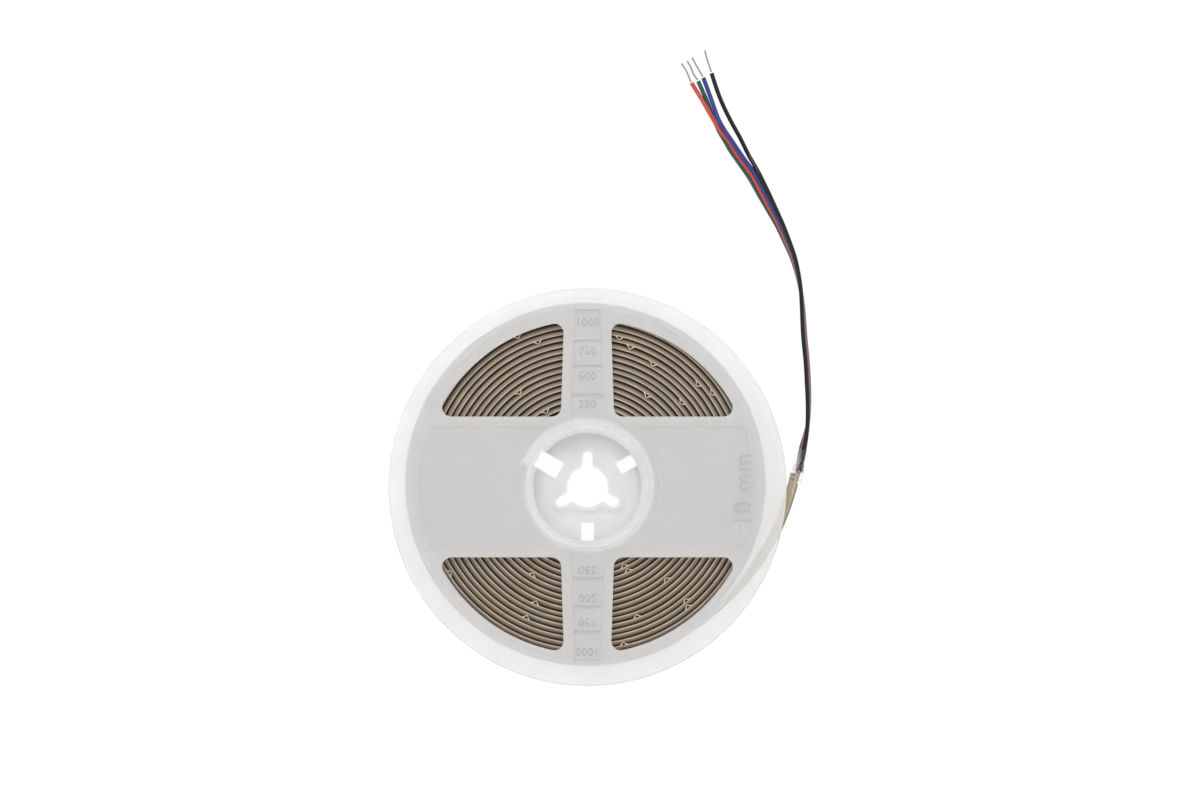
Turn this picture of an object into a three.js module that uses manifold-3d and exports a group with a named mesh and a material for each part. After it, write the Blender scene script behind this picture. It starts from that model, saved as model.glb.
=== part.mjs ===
// Five metre roll of flexible LED strip on a two-part moulded reel, with a soldered four-core lead.
// Millimetres, +Z up, the reel lies flat. The parts are laid out about the reel's axis, and the whole
// is then shifted so that the origin is the middle of its footprint.
import * as THREE from 'three';
import { mergeVertices } from 'three/addons/utils/BufferGeometryUtils.js';
import Module from 'manifold-3d';

const wasm = await Module();
wasm.setup();

// Reel: flanges
const reelDiameter = 130;
const flangeThickness = 1.4;
const flangeEdgeBevel = 0.35;
const windowOuterRadius = 54.5;
const bandHalfWidth = 23;
const spokeHalfWidthInner = 8.7;
const spokeHalfWidthOuter = 7.7;
const windowCornerRadius = 3;
const windowRibWidth = 3.4;
const panelRecessDepth = 0.35;
const spokePanelEndMargin = 3.2;
const graduationRadii = [30.2, 39.4, 47.6, 57.2];
const graduationWidths = [1.1, 1.1, 1.1, 1.5];
const graduationDepth = 0.3;

// Reel: hub of two nested walls, each with a web that carries half of the keyed arbor hole
const hubOuterRadius = 20.2;
const hubWallThickness = 1.2;
const spigotWallThickness = 1.1;
const nestClearance = 0.3;
const seatClearance = 0.3;
const webThickness = 1.2;
const arborRadius = 6.75;
const keySlotHalfWidth = 1.7;
const keySlotReach = 11.6;
const keySlotAngles = [90, 210, 330];
const collarWidth = 1.4;
const collarHeight = 0.9;

// Reel: snap tongues with the core windows beside them, and the notch for the strip's inner end
const snapAngles = [30, 270];
const coreWindowInnerRadius = 11.7;
const coreWindowWidth = 4.2;
const coreWindowWallBite = 0.15;
const tongueWidth = 3.6;
const tongueSlitWidth = 0.5;
const tongueSlitHeight = 3.9;
const barbReach = 0.6;
const barbHeight = 1.2;
const barbToeHeight = 0.15;
const snapSideClearance = 0.4;
const notchAngle = 150;
const notchInnerRadius = 10.4;
const notchWidth = 5.8;
const notchWallClearance = 0.05;

// Strip: board, bead and liner, wound on edge
const stripWidth = 10;
const linerThickness = 0.2;
const boardThickness = 0.25;
const beadHeight = 0.95;
const beadFootWidth = 8.4;
const beadCrownWidth = 6.6;
const bondGap = 0.1;
const turnGap = 0.33;
const stripRestGap = 0.3;
const stripTopGap = 0.7;
const hubWindGap = 0.55;
const rimMargin = 4.9;
const windStartAngle = 160;
const windExitAngle = 300;
const coilSway = 1.3;
const coilSwayAngle = 100;
const beadEndSetback = 3.2;

// Strip: the loose tail that runs out past the flange to the splice
const spliceStandOff = 3.15;
const spliceAngle = 3.7;
const spliceHeading = 78;
const spliceLean = 12.5;
const leanStartShare = 0.05;
const leanFullShare = 0.75;
const tailStartPull = 26;
const tailEndPull = 22;

// Splice: solder joints under a clear heat-shrunk sleeve
const solderLength = 2.2;
const solderHeight = 0.9;
const solderWidth = 1.2;
const solderSetback = 0.3;
const sleeveWall = 0.28;
const sleeveClearance = 0.3;
const sleeveOverStrip = 2.6;
const sleeveOverLead = 8.4;

// Lead: four insulated cores laid side by side, with stripped and tinned ends
const coreDiameter = 1.2;
const corePitch = 1.5;
const tinnedDiameter = 0.9;

// Mesh fineness
const discSegments = 48;
const arcFineness = 3;
const grooveFineness = 1;
const stationsPerTurn = 17;
const tailStations = 8;
const coreSides = 8;
const coreStepLength = 5.5;
const tinnedStepLength = 2.6;

// Derived sizes
const reelRadius = reelDiameter / 2;
const channelHeight = stripRestGap + stripWidth + stripTopGap;
const upperFlangeZ = flangeThickness + channelHeight;
const reelHeight = upperFlangeZ + flangeThickness;
const stripMidZ = flangeThickness + stripRestGap + stripWidth / 2;
const sleeveInnerRadius = hubOuterRadius - hubWallThickness;
const spigotOuterRadius = sleeveInnerRadius - nestClearance;
const wellRadius = spigotOuterRadius - spigotWallThickness;
const webSplitZ = reelHeight / 2;
const upperWebZ = webSplitZ + seatClearance / 2;
const lowerWebZ = webSplitZ - seatClearance / 2 - webThickness;
const ringPanelRadius = windowOuterRadius;
const boardHalf = boardThickness / 2;
const linerInner = -(boardHalf + bondGap + linerThickness);
const linerOuter = -(boardHalf + bondGap);
const beadInner = boardHalf + bondGap;
const beadOuter = beadInner + beadHeight;
const stripThickness = beadOuter - linerInner;
const turnPitch = stripThickness + turnGap;
const coreRadius = coreDiameter / 2;
const coreStandOff = boardHalf + sleeveClearance + coreRadius;

const radians = THREE.MathUtils.degToRad;
const polar = (radius, degrees) => new THREE.Vector2(
  radius * Math.cos(radians(degrees)),
  radius * Math.sin(radians(degrees)),
);

// Solid helpers: every closed geometry becomes a manifold for its cuts and joins
function toSolid(geometry) {
  const bare = geometry.clone();
  bare.deleteAttribute('normal');
  bare.deleteAttribute('uv');
  const merged = mergeVertices(bare, 1e-5);
  return new wasm.Manifold(new wasm.Mesh({
    numProp: 3,
    vertProperties: new Float32Array(merged.attributes.position.array),
    triVerts: new Uint32Array(merged.index.array),
  }));
}

function toGeometry(solid) {
  const mesh = solid.getMesh();
  const geometry = new THREE.BufferGeometry();
  geometry.setAttribute('position', new THREE.BufferAttribute(mesh.vertProperties, 3));
  geometry.setIndex(new THREE.BufferAttribute(mesh.triVerts, 1));
  return geometry;
}

function revolve(profile, segments) {
  const closed = [...profile, profile[0]].map(([radius, z]) => new THREE.Vector2(radius, z));
  const geometry = new THREE.LatheGeometry(closed, segments);
  geometry.rotateX(Math.PI / 2);
  return toSolid(geometry);
}

function extrude(shape, fromZ, toZ, curveSegments = arcFineness) {
  const geometry = new THREE.ExtrudeGeometry(shape, {
    depth: toZ - fromZ,
    bevelEnabled: false,
    curveSegments,
  });
  geometry.translate(0, 0, fromZ);
  return toSolid(geometry);
}

// A block from one radius to another, centred across the given direction
function radialBlock(angle, innerRadius, outerRadius, width, fromZ, toZ) {
  const geometry = new THREE.BoxGeometry(outerRadius - innerRadius, width, toZ - fromZ);
  geometry.translate((innerRadius + outerRadius) / 2, 0, (fromZ + toZ) / 2);
  geometry.rotateZ(radians(angle));
  return toSolid(geometry);
}

const union = (solids) => solids.reduce((sum, solid) => sum.add(solid));

// Flange window in the first quadrant: a straight band edge, an arc and a tapered spoke edge,
// with round corners
function windowOutline() {
  const corner = windowCornerRadius;
  const taper = Math.atan2(spokeHalfWidthInner - spokeHalfWidthOuter, windowOuterRadius - bandHalfWidth);
  const normal = new THREE.Vector2(Math.cos(taper), Math.sin(taper));
  const along = new THREE.Vector2(-Math.sin(taper), Math.cos(taper));
  const spokeFoot = new THREE.Vector2(spokeHalfWidthInner, bandHalfWidth);
  const reach = windowOuterRadius - corner;
  const cornerY = bandHalfWidth + corner;
  const bandCentre = new THREE.Vector2(Math.sqrt(reach ** 2 - cornerY ** 2), cornerY);
  const offsetFoot = spokeFoot.clone().addScaledVector(normal, corner);
  const half = offsetFoot.dot(along);
  const climb = -half + Math.sqrt(half ** 2 - offsetFoot.lengthSq() + reach ** 2);
  const spokeCentre = offsetFoot.clone().addScaledVector(along, climb);
  const rise = (cornerY - offsetFoot.y) / along.y;
  const innerCentre = offsetFoot.clone().addScaledVector(along, rise);
  const shape = new THREE.Shape();
  const quarter = Math.PI / 2;
  shape.absarc(bandCentre.x, bandCentre.y, corner, -quarter, bandCentre.angle(), false);
  shape.absarc(0, 0, windowOuterRadius, bandCentre.angle(), spokeCentre.angle(), false);
  shape.absarc(spokeCentre.x, spokeCentre.y, corner, spokeCentre.angle(), Math.PI + taper, false);
  shape.absarc(innerCentre.x, innerCentre.y, corner, Math.PI + taper, 3 * quarter, false);
  shape.closePath();
  return shape;
}

function inFourQuadrants(shape, fromZ, toZ) {
  const points = shape.extractPoints(arcFineness).shape;
  const signs = [[1, 1], [-1, 1], [-1, -1], [1, -1]];
  return union(signs.map(([sx, sy]) => {
    const mirrored = points.map((point) => new THREE.Vector2(point.x * sx, point.y * sy));
    return extrude(new THREE.Shape(mirrored), fromZ, toZ);
  }));
}

// Recess left on a flange between the ribs: the band inside the ring, and the two spokes
function panelField(fromZ, toZ) {
  const disc = (radius) => {
    const shape = new THREE.Shape();
    shape.absarc(0, 0, radius, 0, 2 * Math.PI, false);
    return extrude(shape, fromZ, toZ, discSegments / 2);
  };
  const rectangle = (halfX, halfY) => new THREE.Shape([
    new THREE.Vector2(-halfX, -halfY),
    new THREE.Vector2(halfX, -halfY),
    new THREE.Vector2(halfX, halfY),
    new THREE.Vector2(-halfX, halfY),
  ]);
  const bandPanelHalf = bandHalfWidth - windowRibWidth;
  const band = extrude(rectangle(reelRadius, bandPanelHalf), fromZ, toZ);
  const spokeInner = spokeHalfWidthInner - windowRibWidth;
  const spokeOuter = spokeHalfWidthOuter - windowRibWidth;
  const spokeEndRadius = reelRadius - spokePanelEndMargin;
  const spoke = extrude(new THREE.Shape([
    new THREE.Vector2(-spokeInner, 0),
    new THREE.Vector2(-spokeOuter, -reelRadius),
    new THREE.Vector2(spokeOuter, -reelRadius),
    new THREE.Vector2(spokeInner, 0),
    new THREE.Vector2(spokeOuter, reelRadius),
    new THREE.Vector2(-spokeOuter, reelRadius),
  ]), fromZ, toZ);
  const hub = disc(hubOuterRadius);
  return band.intersect(disc(ringPanelRadius)).add(spoke.intersect(disc(spokeEndRadius))).subtract(hub);
}

// Graduation grooves across both spoke panels
function graduationGrooves(fromZ, toZ) {
  const grooves = [];
  graduationRadii.forEach((radius, index) => {
    const halfWidth = graduationWidths[index] / 2;
    const share = (radius - bandHalfWidth) / (windowOuterRadius - bandHalfWidth);
    const panelHalf = THREE.MathUtils.lerp(spokeHalfWidthInner, spokeHalfWidthOuter, share) - windowRibWidth;
    const spread = Math.asin(panelHalf / radius);
    for (const middle of [Math.PI / 2, -Math.PI / 2]) {
      const shape = new THREE.Shape();
      shape.absarc(0, 0, radius + halfWidth, middle - spread, middle + spread, false);
      shape.absarc(0, 0, radius - halfWidth, middle + spread, middle - spread, true);
      shape.closePath();
      grooves.push(extrude(shape, fromZ, toZ, grooveFineness));
    }
  });
  return union(grooves);
}

// Outline of the arbor hole with its three round-ended key slots, grown by a margin for the collar
function arborOutline(margin = 0) {
  const radius = arborRadius + margin;
  const half = keySlotHalfWidth + margin;
  const tipCentre = keySlotReach - keySlotHalfWidth;
  const spread = Math.asin(half / radius);
  const shape = new THREE.Shape();
  keySlotAngles.forEach((angle, index) => {
    const direction = radians(angle);
    const next = radians(keySlotAngles[(index + 1) % keySlotAngles.length]);
    const centre = polar(tipCentre, angle);
    shape.absarc(centre.x, centre.y, half, direction - Math.PI / 2, direction + Math.PI / 2, false);
    shape.absarc(0, 0, radius, direction + spread, next - spread, false);
  });
  shape.closePath();
  return shape;
}

function coreWindows(fromZ, toZ) {
  return union(snapAngles.map((angle) => radialBlock(
    angle,
    coreWindowInnerRadius,
    wellRadius + coreWindowWallBite,
    coreWindowWidth,
    fromZ,
    toZ,
  )));
}

function notch(fromZ, toZ) {
  const outer = spigotOuterRadius + notchWallClearance;
  return radialBlock(notchAngle, notchInnerRadius, outer, notchWidth, fromZ, toZ);
}

// Lower half: flange, hub wall, web, and the slots that the barbs of the upper half catch in
function buildLowerHalf() {
  const bevel = flangeEdgeBevel;
  const wallTop = upperFlangeZ - seatClearance;
  const body = revolve([
    [sleeveInnerRadius, 0],
    [reelRadius - bevel, 0],
    [reelRadius, bevel],
    [reelRadius, flangeThickness - bevel],
    [reelRadius - bevel, flangeThickness],
    [hubOuterRadius, flangeThickness],
    [hubOuterRadius, wallTop],
    [sleeveInnerRadius, wallTop],
  ], discSegments);
  const webShape = new THREE.Shape();
  webShape.absarc(0, 0, sleeveInnerRadius + hubWallThickness / 2, 0, 2 * Math.PI, false);
  const web = extrude(webShape, lowerWebZ, lowerWebZ + webThickness, discSegments / 2);
  const collar = extrude(arborOutline(collarWidth), lowerWebZ - collarHeight, lowerWebZ + webThickness / 2);
  const barbZ = barbBottomZ();
  const catches = union(snapAngles.map((angle) => radialBlock(
    angle,
    sleeveInnerRadius - nestClearance,
    hubOuterRadius + nestClearance,
    tongueWidth + 2 * snapSideClearance,
    lowerWebZ + webThickness + seatClearance,
    barbZ + barbHeight + seatClearance,
  )));
  return body
    .add(web)
    .add(collar)
    .subtract(inFourQuadrants(windowOutline(), -bevel, flangeThickness + bevel))
    .subtract(panelField(-bevel, panelRecessDepth))
    .subtract(extrude(arborOutline(), 0, reelHeight))
    .subtract(coreWindows(0, lowerWebZ + webThickness + seatClearance / 2))
    .subtract(notch(0, lowerWebZ + webThickness + seatClearance / 2))
    .subtract(catches);
}

function barbBottomZ() {
  return upperWebZ + barbToeHeight;
}

// Upper half: flange with graduations, spigot, web, collar, and snap tongues cut free of the wall
function buildUpperHalf() {
  const bevel = flangeEdgeBevel;
  const body = revolve([
    [wellRadius, upperWebZ],
    [spigotOuterRadius, upperWebZ],
    [spigotOuterRadius, upperFlangeZ],
    [reelRadius - bevel, upperFlangeZ],
    [reelRadius, upperFlangeZ + bevel],
    [reelRadius, reelHeight - bevel],
    [reelRadius - bevel, reelHeight],
    [wellRadius, reelHeight],
  ], discSegments);
  const webShape = new THREE.Shape();
  webShape.absarc(0, 0, wellRadius + spigotWallThickness / 2, 0, 2 * Math.PI, false);
  const web = extrude(webShape, upperWebZ, upperWebZ + webThickness, discSegments / 2);
  const webTop = upperWebZ + webThickness;
  const collar = extrude(arborOutline(collarWidth), upperWebZ + webThickness / 2, webTop + collarHeight);
  const slitTop = upperWebZ + tongueSlitHeight;
  const slitOffset = (tongueWidth + tongueSlitWidth) / 2;
  const slits = [];
  const barbs = [];
  for (const angle of snapAngles) {
    for (const side of [-1, 1]) {
      const slit = new THREE.BoxGeometry(2 * spigotWallThickness, tongueSlitWidth, tongueSlitHeight + bevel);
      slit.translate((wellRadius + spigotOuterRadius) / 2, side * slitOffset, (upperWebZ - bevel + slitTop) / 2);
      slit.rotateZ(radians(angle));
      slits.push(toSolid(slit));
    }
    const barbProfile = new THREE.Shape([
      new THREE.Vector2(spigotOuterRadius - spigotWallThickness / 2, 0),
      new THREE.Vector2(spigotOuterRadius, 0),
      new THREE.Vector2(spigotOuterRadius + barbReach, barbHeight),
      new THREE.Vector2(spigotOuterRadius - spigotWallThickness / 2, barbHeight),
    ]);
    const barb = new THREE.ExtrudeGeometry(barbProfile, { depth: tongueWidth, bevelEnabled: false });
    barb.translate(0, 0, -tongueWidth / 2);
    barb.rotateX(Math.PI / 2);
    barb.translate(0, 0, barbBottomZ());
    barb.rotateZ(radians(angle));
    barbs.push(toSolid(barb));
  }
  const panelFloor = reelHeight - panelRecessDepth;
  return body
    .add(web)
    .add(collar)
    .subtract(inFourQuadrants(windowOutline(), upperFlangeZ - bevel, reelHeight + bevel))
    .subtract(panelField(panelFloor, reelHeight + bevel))
    .subtract(graduationGrooves(panelFloor - graduationDepth, reelHeight))
    .subtract(extrude(arborOutline(), 0, reelHeight))
    .subtract(coreWindows(upperWebZ - bevel, webTop + seatClearance))
    .subtract(notch(upperWebZ - bevel, reelHeight + bevel))
    .subtract(union(slits))
    .add(union(barbs));
}

// Stations of the wound strip: the middle of the board in plan, the outward normal and the lean.
// Every turn shares the same rays, so the turns stay nested.
function stripPath() {
  const partTurn = ((windExitAngle - windStartAngle + 360) % 360) / 360;
  const firstRadius = hubOuterRadius + hubWindGap - linerInner;
  const room = reelRadius - rimMargin - (hubOuterRadius + hubWindGap) - stripThickness;
  const turns = Math.floor(room / turnPitch - partTurn) + partTurn;
  const count = Math.round(turns * stationsPerTurn);
  const stations = [];
  for (let index = 0; index <= count; index += 1) {
    const wound = index / stationsPerTurn;
    const angle = windStartAngle + 360 * wound;
    const sway = coilSway * (wound / turns) * Math.cos(radians(angle - coilSwayAngle));
    const normal = polar(1, angle);
    stations.push({ point: polar(firstRadius + turnPitch * wound + sway, angle), normal, lean: 0 });
  }
  const exit = stations[count];
  const exitHeading = new THREE.Vector2(-exit.normal.y, exit.normal.x);
  const splice = polar(reelRadius + spliceStandOff, spliceAngle);
  const tail = new THREE.CubicBezierCurve(
    exit.point,
    exit.point.clone().addScaledVector(exitHeading, tailStartPull),
    splice.clone().addScaledVector(polar(1, spliceHeading), -tailEndPull),
    splice,
  );
  const tailLength = tail.getLength();
  const beadEndShare = 1 - beadEndSetback / tailLength;
  const shares = [];
  for (let index = 1; index <= tailStations; index += 1) {
    shares.push(beadEndShare * index / tailStations);
  }
  shares.push(1);
  for (const share of shares) {
    const heading = tail.getTangentAt(share);
    const lean = spliceLean * THREE.MathUtils.smoothstep(share, leanStartShare, leanFullShare);
    stations.push({
      point: tail.getPointAt(share),
      normal: new THREE.Vector2(heading.y, -heading.x),
      lean: radians(lean),
    });
  }
  return { stations, splice };
}

// Sweeps a section along the stations. Section points are [offset along the normal, height above
// the middle of the strip], clockwise seen against the direction of travel.
function sweepSection(stations, section) {
  const positions = [];
  const indices = [];
  const corners = section.length;
  for (const { point, normal, lean } of stations) {
    for (const [offset, height] of section) {
      const out = offset * Math.cos(lean) + height * Math.sin(lean);
      positions.push(
        point.x + normal.x * out,
        point.y + normal.y * out,
        stripMidZ + height * Math.cos(lean) - offset * Math.sin(lean),
      );
    }
  }
  for (let ring = 0; ring < stations.length - 1; ring += 1) {
    for (let corner = 0; corner < corners; corner += 1) {
      const next = (corner + 1) % corners;
      const a = ring * corners + corner;
      const b = ring * corners + next;
      // The inner and the outer face are split along the same diagonal, so that twisted layers nest
      if (corner < corners / 2) indices.push(a, b, a + corners, b, b + corners, a + corners);
      else indices.push(a, b, b + corners, a, b + corners, a + corners);
    }
  }
  const last = (stations.length - 1) * corners;
  for (let corner = 1; corner < corners - 1; corner += 1) {
    indices.push(0, corner + 1, corner);
    indices.push(last, last + corner, last + corner + 1);
  }
  const geometry = new THREE.BufferGeometry();
  geometry.setAttribute('position', new THREE.Float32BufferAttribute(positions, 3));
  geometry.setIndex(indices);
  return geometry;
}

function rectangleSection(inner, outer, innerHalf, outerHalf) {
  return [[inner, -innerHalf], [inner, innerHalf], [outer, outerHalf], [outer, -outerHalf]];
}

// Solder joint: a small dome over a stripped core on its pad
function buildSolderJoint() {
  const dome = new THREE.SphereGeometry(1, 6, 4);
  dome.rotateX(Math.PI / 2);
  dome.scale(solderLength / 2, solderHeight / 2, solderWidth / 2);
  return toGeometry(toSolid(dome));
}

// Clear sleeve shrunk over the board's end, the joints and the cores, open at both ends.
// Local X runs along the strip, local Y to its liner side, local Z across its width.
function buildSleeve() {
  const linerSide = -linerInner + sleeveClearance;
  const coreSide = -(coreStandOff + coreRadius + sleeveClearance);
  const edge = stripWidth / 2 + sleeveClearance;
  const coresHalf = 1.5 * corePitch + coreRadius + sleeveClearance;
  const boardSide = -(boardHalf + sleeveClearance);
  const overStrip = [
    [linerSide, -edge], [boardSide, -edge], [coreSide, -coresHalf],
    [coreSide, coresHalf], [boardSide, edge], [linerSide, edge],
  ];
  const coreNear = -(coreStandOff - coreRadius - sleeveClearance);
  const middle = (coreNear + coreSide) / 2;
  const overLead = [
    [coreNear, -coresHalf + coreRadius], [middle, -coresHalf - sleeveWall], [coreSide, -coresHalf + coreRadius],
    [coreSide, coresHalf - coreRadius], [middle, coresHalf + sleeveWall], [coreNear, coresHalf - coreRadius],
  ];
  const stations = [
    [-sleeveOverStrip, overStrip, 0],
    [sleeveClearance, overStrip, 0],
    [sleeveOverLead * 0.55, overLead, 0.1],
    [sleeveOverLead, overLead, 0.3],
  ];
  const ring = ([along, section, shift], wall) => section.map(([y, z]) => {
    const towardsCores = Math.abs(y - linerSide) > Math.abs(y - coreSide) ? -1 : 1;
    return [along, y + shift + wall * towardsCores, z + wall * Math.sign(z)];
  });
  const positions = [];
  stations.forEach((station) => positions.push(...ring(station, sleeveWall).flat()));
  stations.forEach((station) => positions.push(...ring(station, 0).flat()));
  const sides = overStrip.length;
  const inner = stations.length * sides;
  const indices = [];
  for (let row = 0; row < stations.length - 1; row += 1) {
    for (let side = 0; side < sides; side += 1) {
      const next = (side + 1) % sides;
      const a = row * sides + side;
      const b = row * sides + next;
      indices.push(a, a + sides, b, b, a + sides, b + sides);
      indices.push(inner + a, inner + b, inner + a + sides, inner + b, inner + b + sides, inner + a + sides);
    }
  }
  const end = (stations.length - 1) * sides;
  for (let side = 0; side < sides; side += 1) {
    const next = (side + 1) % sides;
    indices.push(side, next, inner + side, next, inner + next, inner + side);
    indices.push(end + side, inner + end + side, end + next, end + next, inner + end + side, inner + end + next);
  }
  const geometry = new THREE.BufferGeometry();
  geometry.setAttribute('position', new THREE.Float32BufferAttribute(positions, 3));
  geometry.setIndex(indices);
  return geometry;
}

// Lead route, from the end of the board: [x, y, height of the black core, roll of the flat lead].
// At a roll of 90 degrees the lead stands on edge with the black core on top.
const leadRoute = [
  [1.72, 0.45, 8.65, 77.5],
  [2.32, 4.11, 8.69, 77.5],
  [2.94, 7.96, 8.72, 77.5],
  [3.45, 11.0, 8.5, 82],
  [4.0, 15.7, 7.75, 91],
  [4.1, 22.7, 6.75, 97],
  [3.8, 29.8, 5.75, 100],
  [3.4, 36.9, 5.2, 100],
  [2.7, 44.0, 5.16, 100],
  [2.4, 49.3, 5.17, 99],
  [2.2, 54.6, 5.2, 96],
  [1.7, 61.6, 5.22, 89],
  [0.1, 70.1, 5.13, 79],
  [-2.1, 76.6, 4.97, 71],
  [-4.2, 82.0, 4.78, 65],
  [-6.4, 86.9, 4.49, 57],
  [-9.1, 92.8, 3.98, 46.5],
  [-11.8, 98.3, 3.61, 40],
];

// Where each core goes on alone, and then its tinned end. Blue, red and green stay together at
// first, leaning on each other, and red then crosses over green.
const loneRoutes = {
  black: [
    [-13.4, 101.2, 2.5], [-15.1, 104.2, 1.3], [-17.8, 109.7, 0.72], [-21.3, 116.1, 0.72],
    [-23.8, 121.3, 0.72], [-25.6, 125.9, 0.72], [-27.3, 131.2, 0.72],
  ],
  blue: [
    [-16.2, 102.4, 2.82], [-18.5, 105.7, 2.95], [-20.7, 109.0, 3.05], [-22.9, 112.2, 3.05],
    [-24.8, 115.5, 2.85], [-26.1, 118.8, 2.1], [-27.2, 122.0, 1.6], [-28.5, 125.6, 0.9],
    [-30.0, 129.7, 0.72],
  ],
  red: [
    [-17.5, 102.4, 1.77], [-19.8, 105.7, 1.82], [-21.8, 109.0, 1.9], [-24.4, 112.2, 2.24],
    [-26.5, 115.5, 2.24], [-28.4, 118.8, 2.1], [-30.2, 122.0, 1.5], [-32.1, 125.1, 0.9],
    [-33.9, 128.0, 0.72],
  ],
  green: [
    [-18.8, 102.4, 0.72], [-21.1, 105.7, 0.72], [-23.0, 109.0, 0.72], [-24.9, 112.2, 0.72],
    [-26.3, 115.5, 0.72], [-27.6, 118.8, 0.72], [-28.8, 122.0, 0.72], [-30.3, 125.4, 0.72],
    [-31.7, 128.6, 0.72],
  ],
};
const tinnedRoutes = {
  black: [[-27.4, 131.6, 0.72], [-28.2, 134.0, 0.6], [-29.2, 137.3, 0.5], [-29.5, 138.7, 0.5]],
  blue: [[-30.15, 130.05, 0.72], [-31.6, 132.5, 0.6], [-33.7, 136.3, 0.5]],
  red: [[-34.1, 128.35, 0.72], [-35.6, 131.9, 0.6], [-37.2, 134.4, 0.5]],
  green: [[-31.85, 128.95, 0.72], [-33.2, 130.9, 0.6], [-34.1, 133.1, 0.5], [-35.3, 135.3, 0.5]],
};
const coreOrder = ['black', 'blue', 'red', 'green'];

function routePoint([x, y, z], splice) {
  return new THREE.Vector3(splice.x + x, splice.y + y, z);
}

function corePoints(name, splice) {
  const rank = coreOrder.indexOf(name);
  const shared = leadRoute.map(([x, y, z, roll], index) => {
    const before = leadRoute[Math.max(0, index - 1)];
    const after = leadRoute[Math.min(leadRoute.length - 1, index + 1)];
    const heading = new THREE.Vector2(after[0] - before[0], after[1] - before[1]).normalize();
    const aside = rank * corePitch * Math.cos(radians(roll));
    const below = rank * corePitch * Math.sin(radians(roll));
    return routePoint([x - heading.y * aside, y + heading.x * aside, z - below], splice);
  });
  return [...shared, ...loneRoutes[name].map((point) => routePoint(point, splice))];
}

function tube(points, diameter, stepLength) {
  const curve = new THREE.CatmullRomCurve3(points, false, 'centripetal');
  const section = new THREE.Shape();
  section.absarc(0, 0, diameter / 2, 0, 2 * Math.PI, false);
  const steps = Math.max(2, Math.round(curve.getLength() / stepLength));
  const outline = new THREE.Shape(section.getSpacedPoints(coreSides).slice(0, coreSides));
  return toGeometry(toSolid(new THREE.ExtrudeGeometry(outline, { steps, extrudePath: curve, bevelEnabled: false })));
}

// Finishes
const finish = (color, roughness, metalness = 0) => new THREE.MeshStandardMaterial({
  color,
  roughness,
  metalness,
});
const translucentWhite = finish(0xeef0f0, 0.35);
const boardWhite = finish(0xe9e4d8, 0.5);
const siliconeCream = finish(0xe6dcc2, 0.6);
const linerTan = finish(0xc8b496, 0.7);
const solderGrey = finish(0xb9b8b4, 0.35, 0.9);
const sleeveClear = finish(0xe4e6e6, 0.2);
const tinnedGrey = finish(0xa3a19a, 0.4, 0.9);
const coreColours = { black: 0x1d1b1c, blue: 0x2b3a8f, red: 0xc44338, green: 0x1f5f57 };

const reel = new THREE.Group();
const leadPieces = new THREE.Group();

function place(parent, name, geometry, material) {
  const mesh = new THREE.Mesh(geometry, material);
  mesh.name = name;
  parent.add(mesh);
  return mesh;
}

place(reel, 'reel_lower_half', toGeometry(buildLowerHalf()), translucentWhite);
place(reel, 'reel_upper_half', toGeometry(buildUpperHalf()), translucentWhite);

const { stations, splice } = stripPath();
const stripHalf = stripWidth / 2;
const linerSection = rectangleSection(linerInner, linerOuter, stripHalf, stripHalf);
const boardSection = rectangleSection(-boardHalf, boardHalf, stripHalf, stripHalf);
const beadSection = rectangleSection(beadInner, beadOuter, beadFootWidth / 2, beadCrownWidth / 2);
place(reel, 'strip_liner', sweepSection(stations, linerSection), linerTan);
place(reel, 'strip_board', sweepSection(stations, boardSection), boardWhite);
place(reel, 'strip_bead', sweepSection(stations.slice(0, -1), beadSection), siliconeCream);

const spliceGroup = new THREE.Group();
spliceGroup.position.set(splice.x, splice.y, stripMidZ);
spliceGroup.rotation.set(radians(spliceLean), 0, radians(spliceHeading), 'ZYX');
reel.add(spliceGroup);
place(spliceGroup, 'heat_shrink_sleeve', buildSleeve(), sleeveClear);
coreOrder.forEach((name, rank) => {
  const joint = place(spliceGroup, `solder_joint_${name}`, buildSolderJoint(), solderGrey);
  joint.position.set(
    -solderSetback - solderLength / 2,
    -(boardHalf + sleeveClearance + solderHeight / 2),
    (1.5 - rank) * corePitch,
  );
});

for (const name of coreOrder) {
  const insulation = tube(corePoints(name, splice), coreDiameter, coreStepLength);
  place(leadPieces, `lead_core_${name}`, insulation, finish(coreColours[name], 0.45));
  const tinned = tinnedRoutes[name].map((point) => routePoint(point, splice));
  place(leadPieces, `tinned_end_${name}`, tube(tinned, tinnedDiameter, tinnedStepLength), tinnedGrey);
}

// The middle of the footprint, without the free lead, is the origin
const footprint = new THREE.Box3().setFromObject(reel).getCenter(new THREE.Vector3());
const part = new THREE.Group();
part.add(reel, leadPieces);
part.position.set(-footprint.x, -footprint.y, 0);
part.updateMatrixWorld(true);

export default part;
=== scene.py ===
"""Dressed scene of a roll of COB LED strip: reel, wound strip, splice and flat four-core lead.

Lengths are in millimetres about the reel's axis, except those of the lamp and the floor, which
are in metres. Angles in fields and constants are in degrees.
"""
import logging
import math
from dataclasses import dataclass, field
from enum import Enum
from typing import Callable, Optional, Sequence, Union

import bpy
from mathutils import Matrix, Vector


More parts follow.
